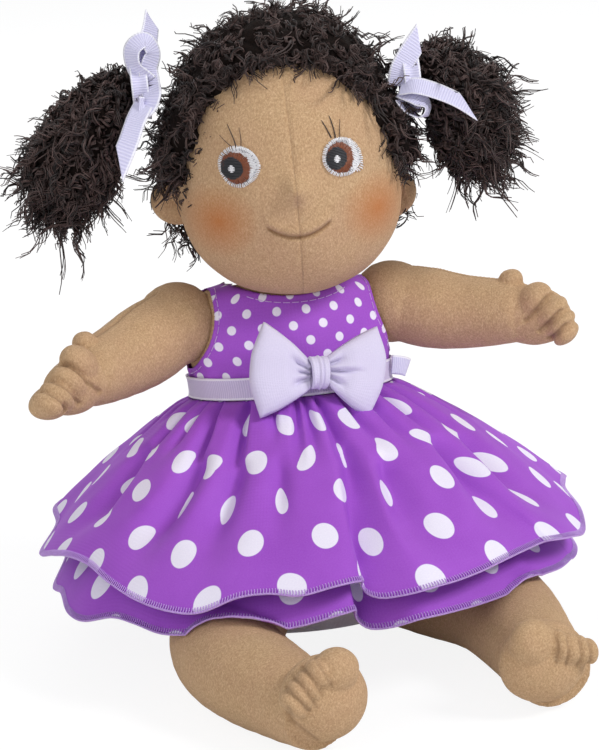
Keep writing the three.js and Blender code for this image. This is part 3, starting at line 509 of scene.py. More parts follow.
def add_materials():
    """Makes every material, each named for what it is."""
    fleece_material("brushed_fleece")
    fleece_material("brushed_fleece_face", face=True)
    hair_material()
    hair_shade_material()
    dotted_material("small_dotted_cotton", 1.7, 11.5, 5.7)
    dotted_material("large_dotted_cotton", bpy.context.scene.doll_dress.dot / 2 / MM, *PRINT)
    cotton_material("white_poplin_cotton", "#D8D1E8", "#BFB7D6", 0.5)
    cotton_material("white_cotton_jersey", "#EFECF2", "#D2CCDA", 0.9)
    grosgrain_material("lavender_grosgrain_ribbon", "#DCD9F2", "#BEBBDF")
    grosgrain_material("grey_lilac_grosgrain_ribbon", "#D0C4E0", "#AC9DC4")
    tape_material()
    for name, colour, rough in (
        ("white_satin_thread", "#F2F1F4", 0.35),
        ("rust_satin_thread", "#7C3D18", 0.4),
        ("navy_satin_thread", "#12131C", 0.45),
        ("grey_satin_thread", "#8C8A93", 0.5),
        ("brown_lash_thread", "#3B2A20", 0.6),
        ("lilac_stitch_thread", "#DDB9F0", 0.5),
        ("lilac_overlock_thread", "#C39AE2", 0.5),
    ):
        thread_material(name, colour, rough)


# Mesh helpers ----------


def finished(name, shape, material):
    """Turns a bmesh or a mesh in mm into an object in metres at the origin, in a named material."""
    if isinstance(shape, bmesh.types.BMesh):
        mesh = bpy.data.meshes.new(name)
        shape.to_mesh(mesh)
        shape.free()
    else:
        mesh = shape
        mesh.name = name
    mesh.transform(Matrix.Scale(MM, 4))
    mesh.polygons.foreach_set("use_smooth", [True] * len(mesh.polygons))
    mesh.materials.clear()
    mesh.materials.append(bpy.data.materials[material])
    piece = bpy.data.objects.new(name, mesh)
    bpy.context.scene.collection.objects.link(piece)
    return piece


def placed(piece, body, slot, *nodes):
    """The piece moves with its body, takes its record slot and stands for its CAD nodes."""
    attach(piece, body)
    if nodes:
        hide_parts(*nodes)
    return piece


def stuffed_skin(node, shape, body, material="brushed_fleece"):
    """A stuffed piece of fleece that stands for a CAD node and is filled this tightly."""
    skin = finished(f"{node}_skin", shape, material)
    placed(skin, body, "skin_fleece", node)


def walled(piece, thickness, offset=-1.0, even=True):
    """Gives a sheet its thickness in mm, inwards from its outside unless the offset is 0."""
    wall = piece.modifiers.new("cloth wall", "SOLIDIFY")
    wall.thickness = thickness * MM
    wall.offset = offset
    wall.use_even_offset = even
    wall.thickness_clamp = 1.0
    return piece


def evaluated_mesh(shape, set_up):
    """The mesh that modifiers make of a bmesh, in its own units."""
    mesh = bpy.data.meshes.new("working")
    shape.to_mesh(mesh)
    shape.free()
    working = bpy.data.objects.new("working", mesh)
    bpy.context.scene.collection.objects.link(working)
    set_up(working)
    graph = bpy.context.evaluated_depsgraph_get()
    made = bpy.data.meshes.new_from_object(working.evaluated_get(graph))
    bpy.data.objects.remove(working)
    bpy.data.meshes.remove(mesh)
    return made


def stuffed(shape, points, across, sections, sides=32, rings=40):
    """Adds a stuffed form: round sections along a path, closed on a pole at each end."""
    made = bmesh.ops.create_uvsphere(shape, u_segments=sides, v_segments=rings + 2, radius=1)
    across = Vector(across)
    for vert in made["verts"]:
        tilt = acos(max(-1, min(1, vert.co.z))) / pi
        if tilt < 0.001 or tilt > 0.999:
            vert.co = spline(points, round(tilt))
            continue
        place = (tilt * (rings + 2) - 1) / rings
        share, wide_size, high_size = spline(sections, place)
        share = min(1.0, max(0.0, share))
        along = heading(points, share)
        wide = (across - along * across.dot(along)).normalized()
        high = along.cross(wide)
        turn = atan2(vert.co.y, vert.co.x)
        vert.co = (spline(points, share) + wide * (wide_size * cos(turn)) + high * (high_size * sin(turn)))


def ellipsoid(shape, size, matrix, segments=24):
    """Adds an ellipsoid of these half sizes, placed by the matrix."""
    bmesh.ops.create_uvsphere(
        shape, u_segments=segments, v_segments=segments // 2, radius=1,
        matrix=matrix @ Matrix.Diagonal((*size, 1)),
    )


def fused(shape, voxel, relax):
    """Overlapping closed forms as one skin, with soft creases where they met."""

    def set_up(working):
        remesh = working.modifiers.new("remesh", "REMESH")
        remesh.mode = "VOXEL"
        remesh.voxel_size = voxel
        ease = working.modifiers.new("ease", "SMOOTH")
        ease.factor = 0.5
        ease.iterations = relax

    return evaluated_mesh(shape, set_up)


def sheet_grid(columns, rows, place, flat, wrap=False):
    """A grid laid out by place(u, v), with its flat cloth size in mm from flat(u, v) as its map."""
    shape = bmesh.new()
    bmesh.ops.create_grid(shape, x_segments=columns, y_segments=rows, size=0.5)
    layer = shape.loops.layers.uv.new("flat")
    where = {vert: (vert.co.x + 0.5, vert.co.y + 0.5) for vert in shape.verts}
    for face in shape.faces:
        for loop in face.loops:
            along, down = flat(*where[loop.vert])
            loop[layer].uv = (along * MM, down * MM)
    for vert, (u, v) in where.items():
        vert.co = place(u, v)
    if wrap:
        bmesh.ops.remove_doubles(shape, verts=shape.verts, dist=0.001)
    return turned_out(shape)


def tube_lines(name, lines, material, sides=0, caps=True):
    """Threads or strands: one tube along each line of points, each point with its radius, as a mesh."""
    curve = bpy.data.curves.new(name, "CURVE")
    curve.dimensions = "3D"
    curve.bevel_depth = 1.0
    curve.bevel_resolution = sides
    curve.use_fill_caps = caps
    for line, radii in lines:
        spline_made = curve.splines.new("POLY")
        line = np.asarray(line, float)
        spline_made.points.add(len(line) - 1)
        spline_made.points.foreach_set("co", np.hstack([line, np.ones((len(line), 1))]).ravel())
        radii = np.broadcast_to(np.asarray(radii, float), len(line))
        spline_made.points.foreach_set("radius", np.array(radii))
    working = bpy.data.objects.new(name, curve)
    bpy.context.scene.collection.objects.link(working)
    graph = bpy.context.evaluated_depsgraph_get()
    mesh = bpy.data.meshes.new_from_object(working.evaluated_get(graph))
    bpy.data.objects.remove(working)
    bpy.data.curves.remove(curve)
    return finished(name, mesh, material)


def turned_out(shape):
    """Points every face of a form outwards."""
    bmesh.ops.recalc_face_normals(shape, faces=shape.faces)
    return shape


def crease_layer(shape):
    """Where a form keeps how deep each point lies in a crease."""
    return shape.verts.layers.float.get("crease") or shape.verts.layers.float.new("crease")


def reshaped(mesh, change):
    """Moves each vertex of a mesh in mm by change(point, normal), which gives (point, crease)."""
    shape = bmesh.new()
    shape.from_mesh(mesh)
    bpy.data.meshes.remove(mesh)
    shape.normal_update()
    layer = crease_layer(shape)
    moves = [change(vert.co.copy(), vert.normal.copy()) for vert in shape.verts]
    for vert, (point, crease) in zip(shape.verts, moves):
        vert.co = point
        vert[layer] = crease
    return shape


# Limbs ----------


def shoulder_of(side):
    """Where an arm is sewn on."""
    return leaned(SIDES[side] * 42, 0, TOP - 13)


def arm_path(side):
    """The middle of an arm: shoulder, elbow and wrist."""
    shoulder = shoulder_of(side)
    wrist = shoulder + Vector((SIDES[side] * 43, -28, -ARM_FALL[side] - 1.5))
    elbow = shoulder.lerp(wrist, 0.5) + Vector((0, 28 * 0.12, -2.5))
    return [shoulder, elbow, wrist]


def leg_path(side):
    """The middle of a leg: hip, knee and ankle."""
    sign, drop = SIDES[side], SHIN - THIGH
    hip = Vector((sign * 26, -10, THIGH - SEAT_FLAT))
    knee = hip + Vector((sign * KNEE[side][0], -KNEE[side][1], drop * 0.25))
    ankle = hip + Vector((sign * ANKLE[side][0], -ANKLE[side][1], drop))
    return [hip, knee, ankle]


# Each hand, in mm from the wrist: ellipsoids of the palm as places and half sizes; the fingers as along, up,
# half length and half thickness, all lying one way; the thumb as along, up and radius; and the lines stitched
# between the fingers, along and up.
HANDS = {
    "right": {
        "palms": [((7.0, 0.0, -1.0), (15.0, 9.0, 10.0)), ((20.0, 0.0, -2.5), (11.0, 7.0, 6.0))],
        "fingers": [
            (6.2, 6.6, 9.0, 6.0), (13.8, 2.0, 8.5, 4.6), (20.9, -0.3, 7.0, 3.8), (27.0, -1.5, 5.5, 4.2),
        ],
        "lie": (0.6, 0.8),
        "thumb": (-4.0, 10.6, 4.6),
        "lines": [
            [(13.9, 9.2), (10.3, 2.1), (4.4, -3.6)],
            [(22.3, 5.3), (18.4, -0.7), (14.3, -5.0)],
            [(27.3, 2.8), (24.6, -2.0), (22.0, -5.3)],
        ],
    },
    "left": {
        "palms": [((5.5, 0.0, -1.5), (15.0, 9.0, 11.0))],
        "fingers": [
            (7.5, 5.5, 7.5, 6.0), (13.5, 1.0, 7.5, 4.6), (17.0, -3.6, 6.5, 3.6), (19.0, -7.5, 5.5, 3.2),
        ],
        "lie": (0.76, 0.65),
        "thumb": (-3.0, 11.2, 4.4),
        "lines": [
            [(13.6, 7.4), (9.4, 2.6), (5.2, -0.8)],
            [(18.4, 2.2), (14.2, -2.0), (10.2, -5.0)],
            [(20.6, -2.6), (17.2, -5.8), (13.6, -8.6)],
        ],
    },
}
# Each foot, in mm from the ankle: half sizes of the sole; the big toe as across, up, half width and half
# height; the toes as across, up, half length and half width; the lines stitched between them, and the fold
# beside them, across and up.
FEET = {
    "right": {
        "sole": (15.0, 9.5, 15.5),
        "big": (7.8, 8.2, 8.0, 7.8),
        "toes": [
            (2.2, 11.8, 5.4, 2.8), (-2.6, 10.0, 5.6, 2.3), (-6.6, 9.0, 5.8, 2.3), (-10.5, 7.5, 5.6, 2.5),
        ],
        "lines": [
            [(3.8, 16.0), (3.5, 7.1)], [(-0.8, 15.5), (-0.6, 5.5)], [(-5.1, 14.9), (-4.4, 3.0)],
            [(-9.2, 14.0), (-7.1, 3.3)],
        ],
        "fold": [(-12.8, 9.3), (-13.6, 1.6), (-11.3, -5.5), (-9.7, -10.2)],
    },
    "left": {
        "sole": (16.0, 9.5, 14.8),
        "big": (-6.6, 8.4, 8.2, 8.4),
        "toes": [(2.6, 7.5, 5.8, 2.5), (6.9, 6.5, 5.5, 2.6), (10.9, 5.8, 5.2, 2.3), (14.2, 5.2, 4.6, 2.2)],
        "lines": [
            [(0.2, 12.0), (1.2, 2.2)], [(4.0, 10.8), (5.0, 1.4)], [(8.9, 9.9), (9.8, 1.2)],
            [(12.3, 9.0), (13.1, 1.7)],
        ],
        "fold": [(14.4, -1.0), (13.6, -6.0), (10.5, -10.6)],
    },
}


def hand_place(side):
    """The axes of a hand at the wrist: along the arm, ahead and up."""
    path = arm_path(side)
    along = heading(path, 1)
    front = Vector((0, -1, 0))
    ahead = (front - along * front.dot(along)).normalized()
    up = along.cross(ahead)
    if up.z < 0:
        up = -up
    return Matrix.Translation(path[-1] - along * 2.3) @ Matrix((along, ahead, up)).transposed().to_4x4()


def foot_place(side):
    """The axes of a foot at the ankle, rolled outwards."""
    sign = SIDES[side]
    ankle = leg_path(side)[-1] + Vector((-sign * FOOT_INSET[side], 0, FOOT_RISE[side]))
    return Matrix.Translation(ankle) @ Matrix.Rotation(sign * radians(FOOT_ROLL[side]), 4, "Y")


def stitched_lines(lines, across, height, width):
    """How strongly a point, seen flat, lies on one of the stitched lines."""
    best = 99.0
    for line in lines:
        for (ax, ay), (bx, by) in zip(line, line[1:]):
            dx, dy = bx - ax, by - ay
            share = ((across - ax) * dx + (height - ay) * dy) / (dx * dx + dy * dy)
            share = min(1.0, max(0.0, share))
            best = min(best, hypot(across - ax - share * dx, height - ay - share * dy))
    return bell(best, width)


def arm_shape(side):
    """The stuffed forms of an arm and its hand, to be fused."""
    shape = bmesh.new()
    path = arm_path(side)
    sections = [
        (0, ARM * 0.9, ARM * 0.9), (0.3, ARM * 0.97, ARM * 0.97), (0.6, ARM * 0.88, ARM * 0.88),
        (0.84, WRIST * 1.02, WRIST * 1.02), (0.94, WRIST * 0.94, WRIST * 0.94),
        (1, WRIST * 0.74, WRIST * 0.74),
    ]
    stuffed(shape, path, (0, 0, 1), sections)
    ellipsoid(shape, (ARM,) * 3, Matrix.Translation(path[0]))
    hand, turn = HANDS[side], hand_place(side)
    ellipsoid(shape, (9, 10, 10.6), turn @ Matrix.Translation((1.0, 0, 0)))
    for middle, size in hand["palms"]:
        ellipsoid(shape, size, turn @ Matrix.Translation(middle), 32)
    lie = Matrix.Rotation(-atan2(hand["lie"][1], hand["lie"][0]), 4, "Y")
    for along, up, half, thick in hand["fingers"]:
        ellipsoid(shape, (half, 6.5, thick), turn @ Matrix.Translation((along, 3.0, up)) @ lie, 32)
    along, up, radius = hand["thumb"]
    ellipsoid(shape, (radius * 1.2, radius, radius), turn @ Matrix.Translation((along, -1.5, up)) @ lie)
    return shape


def leg_shape(side):
    """The stuffed forms of a leg and its foot, to be fused."""
    shape = bmesh.new()
    path = leg_path(side)
    sections = [
        (0, THIGH * 0.9, THIGH * 0.9), (0.3, THIGH * 0.99, THIGH * 0.99), (0.6, THIGH * 0.9, THIGH * 0.92),
        (0.85, SHIN * 1.02, SHIN * 1.0), (1, SHIN * 0.84, SHIN * 0.88),
    ]
    stuffed(shape, path, (0, 0, 1), sections)
    ellipsoid(shape, (THIGH,) * 3, Matrix.Translation(path[0]))
    foot, turn = FEET[side], foot_place(side)
    ellipsoid(shape, foot["sole"], turn, 40)
    across, up, wide, high = foot["big"]
    ellipsoid(shape, (wide, 6.8, high), turn @ Matrix.Translation((across, -4.2, up)), 32)
    lines = foot["lines"] + [foot["lines"][-1]]
    for i, (across, up, half, wide) in enumerate(foot["toes"]):
        (ax, az), (bx, bz) = lines[i][0], lines[i][-1]
        (cx, cz), (dx, dz) = lines[i + 1][0], lines[i + 1][-1]
        lean = atan2(ax - bx + cx - dx, az - bz + cz - dz)
        spin = Matrix.Rotation(lean, 4, "Y")
        ellipsoid(shape, (wide * 1.3, 5.3, half), turn @ Matrix.Translation((across, -6.1, up)) @ spin)
    return shape


def arm_seam(side):
    """Points of the seam along the top of an arm."""
    path, points = arm_path(side), []
    for i in range(90):
        share = 0.1 + i / 89 * 0.84
        along = heading(path, share)
        out = (Vector((0, 0.1, 1)) - along * along.z).normalized()
        points.append(spline(path, share) + out * (ARM + (WRIST - ARM) * share**1.5))
    return np.array([p[:] for p in points])


def add_limb(side, kind):
    """A stuffed limb: brushed fleece with stitched fingers or toes, and an arm's seam along its top."""
    arm = kind == "arm"
    mesh = fused(arm_shape(side), 0.62, 3) if arm else fused(leg_shape(side), 0.76, 2)
    seam = arm_seam(side)
    end = (hand_place(side) if arm else foot_place(side)).inverted()
    made = HANDS[side] if arm else FEET[side]

    def change(point, normal):
        """Draws the seams in and swells the filling a little unevenly."""
        wave = sin(point.x * 0.55) * sin(point.y * 0.6 + 1) * sin(point.z * 0.5)
        push, crease = 0.12 * wave, 0.0
        local = end @ point
        if arm:
            steps = np.linalg.norm(seam - np.array(point[:]), axis=1)
            near = steps.argmin()
            if steps[near] < 5:
                pucker = 0.75 + 0.25 * sin(near * 1.9)
                groove = bell(steps[near], 0.9) * pucker
                push -= 0.9 * groove - 0.25 * bell(steps[near] - 2.2, 1.2) * pucker
                crease = 0.85 * groove
            if local.y > 0.5 and local.x > -3:
                line = stitched_lines(made["lines"], local.x, local.z, 0.9)
                push -= 1.0 * line
                crease = max(crease, 0.7 * line)
        elif local.y < -1 and local.y > -16 and abs(local.x) < 24:
            line = stitched_lines(made["lines"], local.x, local.z, 0.6)
            push -= 0.35 * line
            crease = 0.55 * line
            fold = stitched_lines([made["fold"]], local.x, local.z, 0.8) * smooth(-1, -3, local.y)
            push -= 0.7 * fold
            crease = max(crease, 0.55 * fold)
        point = point + normal * push
        point.z = max(point.z, 0.02)
        return point, crease

    stuffed_skin(f"{kind}_{side}", reshaped(mesh, change), f"{kind}_{side}")


# Head ----------

# The smile: how far below the nose its middle is, how far its ends rise and half its width.
SMILE_DROP, SMILE_LIFT, SMILE_HALF = 17.2, 4.3, 11.4


def smile_height(across):
    """Where the smile's line lies, up the face."""
    return -SMILE_DROP + SMILE_LIFT * (across / SMILE_HALF) ** 2


def face_swell(across, height):
    """How far the stuffed nose, the cheeks and the lips stand out of the face."""
    away = hypot(across, (height - 0.2) * 0.88)
    nose = 4.4 * bell(away, 3.9) + 1.3 * bell(away, 8)
    muzzle = 1.1 * bell(hypot(across * 0.7, height + 11), 10)
    return nose + muzzle


def face_groove(across, height):
    """How deep the centre seam and the smile are drawn in, and how dark they look."""
    seam = bell(across, 0.85)
    under = height - smile_height(across)
    end = 1 - smooth(SMILE_HALF - 1.5, SMILE_HALF + 1.0, abs(across))
    line = bell(under, 0.75) * end
    lip = bell(under - 2.3, 2.0) * end
    return 0.45 * seam + 1.3 * line - 0.7 * lip, 0.6 * line


def add_head():
    """The head: a stuffed form with its nose, cheeks, smile and centre seam, finer where they are."""
    shape = bmesh.new()
    bmesh.ops.create_icosphere(shape, subdivisions=7, radius=1)

    def middle(face):
        centre = face.calc_center_median().normalized()
        skin = head_surface(centre, 0)
        near_seam = abs(skin.x) < 3
        near_smile = abs(skin.x) < SMILE_HALF + 3 and abs(skin.z - smile_height(skin.x)) < 4
        return skin.y < 0 and (near_seam or near_smile)

    faces = [face for face in shape.faces if middle(face)]
    edges = {edge for face in faces for edge in face.edges}
    bmesh.ops.subdivide_edges(shape, edges=list(edges), cuts=1, use_grid_fill=True)
    bmesh.ops.triangulate(shape, faces=shape.faces)
    layer = crease_layer(shape)
    face_layer = shape.loops.layers.uv.new("face")
    skin_at = {}
    for vert in shape.verts:
        unit = vert.co.normalized()
        skin = head_surface(unit, 0)
        crease = 0.0
        if skin.y < 5:
            front = smooth(5, -12, skin.y)
            groove, crease = face_groove(skin.x, skin.z)
            push = face_swell(skin.x, skin.z) - groove
            skin.y -= push * front
            crease *= front
        dent = 0.3 * sin(skin.x * 0.19 + 1) * sin(skin.y * 0.23) * sin(skin.z * 0.17 + 2)
        skin += unit * dent
        skin_at[vert] = skin.copy()
        vert[layer] = crease
        vert.co = HEAD @ skin
    for face in shape.faces:
        for loop in face.loops:
            skin = skin_at[loop.vert]
            u, v = face_map(skin.x, skin.z)
            loop[face_layer].uv = (u + (1.0 if skin.y > 6 else 0.0), v)
    turned_out(shape)
    stuffed_skin("head", shape, "head", "brushed_fleece_face")


def add_ears():
    """Both ears: small stuffed discs, dented in front."""
    for side, sign in SIDES.items():
        shape = bmesh.new()
        bmesh.ops.create_uvsphere(shape, u_segments=48, v_segments=32, radius=1)
        layer = crease_layer(shape)
        middle = Vector((sign * HEAD_WIDE - EAR_TUCK[side], EAR_BACK[side], -EAR_DROP[side]))
        for vert in shape.verts:
            unit = vert.co.copy()
            rim = hypot(unit.x * 0.95, unit.z)
            dent = 2.2 * smooth(0.78, 0.2, rim) if unit.y < 0 else 0
            local = Vector((unit.x * EAR_WIDE, unit.y * EAR_DEEP + dent, unit.z * EAR_HIGH))
            # Painted shade in the ear's front dent.
            vert[layer] = 0.25 * smooth(0.5, 0.8, rim) * (1 if unit.y < -0.1 and rim < 0.86 else 0)
            vert.co = HEAD @ (local + middle)
        turned_out(shape)
        stuffed_skin(f"ear_{side}", shape, "head")


# The middle of each embroidered eye, across and up the face, and its outline: angle in degrees and reach in
# mm from that middle.
EYE_MIDDLE = {"right": (-18.6, 9.0), "left": (17.2, 9.0)}
EYE_OUTLINES = {
    "right": [(0, 7.2), (30, 7.0), (60, 7.0), (90, 7.1), (120, 7.2), (150, 7.2), (180, 6.9), (210, 6.7),
              (240, 7.0), (270, 6.9), (300, 6.3), (330, 6.6)],
    "left": [(0, 7.0), (30, 6.4), (60, 6.2), (90, 6.4), (120, 6.7), (150, 6.9), (180, 6.9), (210, 6.7),
             (240, 6.6), (270, 6.6), (300, 7.0), (322, 9.0), (340, 7.8)],
}


def eye_reach(side, turn):
    """How far the eye's edge lies from its middle in a direction, through its outline's points."""
    rows = EYE_OUTLINES[side]
    degrees = in_degrees(turn) % 360
    after = next((i for i, row in enumerate(rows) if row[0] > degrees), len(rows))
    low = rows[after - 1]
    high = rows[after] if after < len(rows) else (360, rows[0][1])
    return low[1] + (high[1] - low[1]) * smooth(low[0], high[0], degrees)


def eye_patch(side):
    """The domed white patch under an eye's stitches, its rim just under the skin."""
    centre = EYE_MIDDLE[side]
    shape = bmesh.new()
    bmesh.ops.create_circle(shape, cap_ends=True, cap_tris=True, segments=72, radius=1)
    for _ in range(3):
        spokes = [edge for edge in shape.edges if any(v.co.length < 0.01 for v in edge.verts)]
        bmesh.ops.subdivide_edges(shape, edges=spokes, cuts=1)
    for vert in shape.verts:
        away = min(1.0, vert.co.length)
        turn = atan2(vert.co.y, vert.co.x)
        far = eye_reach(side, turn) * away
        across = centre[0] + far * cos(turn)
        height = centre[1] + far * sin(turn)
        lift = 0.35 + 0.5 * (1 - away**2)
        vert.co = HEAD @ face_point(across, height, lift if away < 0.99 else -0.2)
    turned_out(shape)
    return finished(f"eye_{side}_white", shape, "white_satin_thread")


def face_thread(line, outside):
    """The points of a stitch that lies on the face, from points across and up it. Its ends sink in."""
    points = []
    for i, (across, height) in enumerate(line):
        sink = 0.35 if i in (0, len(line) - 1) else 0.0
        points.append(HEAD @ face_point(across, height, outside - sink))
    return points


def fan(centre, turn, near, far, steps=4):
    """Points of a line outward from a centre."""
    reaches = [near + (far - near) * i / (steps - 1) for i in range(steps)]
    return [(centre[0] + reach * cos(turn), centre[1] + reach * sin(turn)) for reach in reaches]


def satin_rows(centre, radius, low, count, shares, rng=None):
    """Level stitches that fill a disc, half a mm apart, ragged at their ends where rng is given."""
    rows = []
    for i in range(count):
        height = centre[1] - low + i * 0.5
        half = sqrt(max(0.05, radius**2 - (height - centre[1]) ** 2))
        half += rng.uniform(-0.15, 0.15) if rng else 0
        rows.append([(centre[0] + half * s, height) for s in shares])
    return rows


# Each part of an eye: its thread, how far it lies off the face and its radius in mm.
EYE_THREADS = {
    "rim": ("white_satin_thread", 0.95, 0.22),
    "corner": ("white_satin_thread", 0.9, 0.27),
    "iris": ("rust_satin_thread", 1.1, 0.27),
    "ticks": ("grey_satin_thread", 1.12, 0.13),
    "pupil": ("navy_satin_thread", 1.42, 0.3),
    "glint": ("white_satin_thread", 1.78, 0.28),
}


def eye_stitches(side, rng):
    """The stitches of each part of an eye, as lines of points across and up the face."""
    middle = EYE_MIDDLE[side]
    iris = (middle[0] - 1.3, middle[1] - 0.5)
    pupil = (middle[0] - 2.2, middle[1] - 0.3)
    glint = (middle[0] - 2.2, middle[1] - 0.5)
    parts = {part: [] for part in EYE_THREADS}

    def inside(x, y, rim):
        turn = atan2(y - middle[1], x - middle[0])
        return hypot(x - middle[0], y - middle[1]) < eye_reach(side, turn) - rim

    turns = 64
    for i in range(turns):
        turn = (i + rng.uniform(-0.2, 0.2)) / turns * tau
        far = eye_reach(side, turn)
        inner = far - rng.uniform(1.0, 1.6)
        parts["rim"].append(fan(middle, turn, inner, far + 0.1))
        if i % 2 == 0 or rng.random() < 0.25:
            parts["ticks"].append(fan(middle, turn + 0.05, inner - 0.1, inner + 0.55, 3))
    for i in range(22):
        height = middle[1] - 6 + i * 0.55
        start = middle[0] + 2.6 + 0.2 * (i % 2)
        turn = atan2(height - middle[1], 5)
        end = middle[0] + max(0.5, eye_reach(side, turn) * cos(turn) - 0.8)
        if end - start > 0.8:
            line = [(start + (end - start) * k / 3, height + 0.12 * k) for k in range(4)]
            parts["corner"].append(line)
    for i in range(76):
        turn = i / 76 * tau + rng.uniform(-0.02, 0.02)
        line = fan(iris, turn, 2.2, 5.4 + rng.uniform(-0.25, 0.5))
        if not all(inside(x, y, 0.9) for x, y in line):
            limit = 5.1
            while limit > 2.6 and not inside(*fan(iris, turn, 2.2, limit)[-1], 1.0):
                limit -= 0.2
            line = fan(iris, turn, 2.0, limit)
        parts["iris"].append(line)
    parts["pupil"] = satin_rows(pupil, 3.7, 3.5, 15, (-1, -0.5, 0, 0.5, 1), rng)
    parts["glint"] = satin_rows(glint, 1.1, 1.0, 5, (-1, 0, 1))
    return parts


# The lashes: the radius of the thread, and each lash across and up the face.
LASHES = {
    "dark": (0.26, [
        [(-19.1, 16.0), (-19.6, 18.5), (-21.4, 24.0)],
        [(15.9, 15.6), (15.5, 19.0), (14.4, 23.6)],
        [(14.4, 15.9), (13.0, 19.2), (11.4, 22.4)],
    ]),
    "faint": (0.15, [
        [(-20.4, 15.8), (-22.3, 17.6), (-24.6, 20.2)],
        [(-17.4, 15.9), (-17.1, 19.0), (-17.4, 22.6)],
        [(17.5, 15.2), (17.7, 18.2), (18.3, 21.6)],
    ]),
}


def add_eyes():
    """Each eye is satin stitched: white rim and corner, rust iris, navy pupil and a white glint."""
    rng = np.random.default_rng(5)
    for side in SIDES:
        placed(eye_patch(side), "head", "eye_thread", f"eye_{side}")
        parts = eye_stitches(side, rng)
        for part, (material, lift, radius) in EYE_THREADS.items():
            threads = [(face_thread(line, lift), radius) for line in parts[part]]
            placed(tube_lines(f"eye_{side}_{part}", threads, material), "head", "eye_thread")
    for kind, (radius, lines) in LASHES.items():
        lashes = []
        for line in lines:
            flat = [Vector((x, z, 0)) for x, z in line]
            steps = [spline(flat, i / 8) for i in range(9)]
            points = face_thread([(p.x, p.y) for p in steps], 0.12)
            lashes.append((points, [radius * (1 - 0.45 * i / 8) for i in range(9)]))
        placed(tube_lines(f"lashes_{kind}", lashes, "brown_lash_thread", 1), "head", "eye_thread")


def add_neck():
    """The neck: a stuffed stub from the torso up into the head."""
    shape = bmesh.new()
    path = [leaned(0, 0, TOP - 1), leaned(0, 0, TOP + 4), leaned(0, 0, TOP + 15)]
    stuffed(shape, path, (1, 0, 0), [(0, 17.2, 17.2), (0.5, 16.6, 16.6), (1, 14, 14)], 48, 16)
    crease_layer(shape)
    stuffed_skin("neck", shape, "neck")


def add_torso():
    """The torso: a stuffed form that leans back, flat where it sits."""
    shape = bmesh.new()
    bmesh.ops.create_uvsphere(shape, u_segments=96, v_segments=64, radius=1)
    crease_layer(shape)
    for vert in shape.verts:
        tilt = acos(max(-1, min(1, vert.co.z))) / pi
        height = TOP * (1 - tilt)
        turn = atan2(vert.co.y, vert.co.x)
        if tilt < 0.001 or tilt > 0.999:
            vert.co = leaned(0, 0, TOP if tilt < 0.5 else 0)
        else:
            vert.co = torso_point(turn, height, -0.4)
        vert.co.z = max(vert.co.z, 1.5)
    turned_out(shape)
    stuffed_skin("torso", shape, "torso")


# Hair ----------


def lumps(point, size):
    """Curls swell the hair in lumps."""
    turn = tau / size
    return 2.2 * (
        sin(point.x * turn + 1) * sin(point.y * turn + 2) * sin(point.z * turn + 3)
        + 0.5 * sin(point.x * turn * 2 + point.z * turn) * cos(point.y * turn * 2)
    )


def hairline(skin):
    """How far a point of the head lies inside the hair, in mm: from its hairline, nape and ears."""
    lean = radians(9)
    behind = (skin.y + 17 - 0.06 * (skin.x > 0) * skin.x) * cos(lean) + skin.z * sin(lean)
    behind -= 2.6 * smooth(-28, -38, skin.x) * smooth(30, 5, skin.z)
    behind -= 2.6 * bell(hypot(skin.x + 25, skin.z - 30), 13)
    behind += 0.9 * sin(skin.z * 0.45) + 0.6 * sin(skin.z * 1.1 + skin.x)
    above = skin.z + 24 + 1.2 * sin(skin.x * 0.6)
    past_ear = max(skin.z - 2.0, skin.y - 11.2)
    return min(behind, above, past_ear)


# Each ponytail hangs from its tie as a bunch: outward, up, half its depth and half its width, in mm.
TAIL_BUNCH = {
    "right": [
        (0, 0, 9.0, 8.5), (11, -1, 10.5, 10.0), (20, -8, 13.0, 14.0), (27, -17, 15.5, 17.5),
        (32, -27, 16.0, 19.0), (34, -35, 13.5, 16.5), (34, -41, 8.5, 10.0), (33, -45, 3.0, 3.0),
    ],
    "left": [
        (0, 0, 9.0, 8.5), (9, 4, 10.0, 9.5), (17, 1, 12.5, 13.0), (22, -7, 15.0, 16.0),
        (24, -16, 15.5, 16.5), (26, -25, 13.5, 14.5), (29, -32, 9.0, 9.0), (31, -37, 3.0, 3.0),
    ],
}
# The locks of one mesh of curls, the strands of a lock, the points of a strand and its radius in mm.
CAP_LOCKS, CAP_CURL = 410, (4, 10, 0.26)
TAIL_LOCKS, TAIL_CURL = 290, (4, 11, 0.27)
WISP_CURL = (3, 14, 0.21)


def spread_over(shape, count, rng, weight, in_order=True):
    """Even random points on a shape's faces, with their normals, where weight(point) allows. A form whose
    faces and corners don't come in the same order each run is sorted first."""
    bmesh.ops.triangulate(shape, faces=shape.faces)
    shape.normal_update()
    rows = []
    for face in shape.faces:
        corners = [(*vert.co, *vert.normal) for vert in face.verts]
        first = 0 if in_order else min(range(3), key=lambda k: corners[k][:3])
        area = face.calc_area() * weight(face.calc_center_median())
        rows.append((corners[first:] + corners[:first], area))
    if not in_order:
        rows.sort(key=lambda row: [corner[:3] for corner in row[0]])
    corners = np.array([row[0] for row in rows])
    areas = np.array([row[1] for row in rows])
    chosen = rng.choice(len(areas), count, p=areas / areas.sum())
    mix = rng.dirichlet((1, 1, 1), count)[:, :, None]
    roots = (corners[chosen, :, :3] * mix).sum(1)
    out = (corners[chosen, :, 3:] * mix).sum(1)
    return roots, out / np.linalg.norm(out, axis=1, keepdims=True)


def unit_rows(rows):
    return rows / np.maximum(np.linalg.norm(rows, axis=-1, keepdims=True), 1e-9)


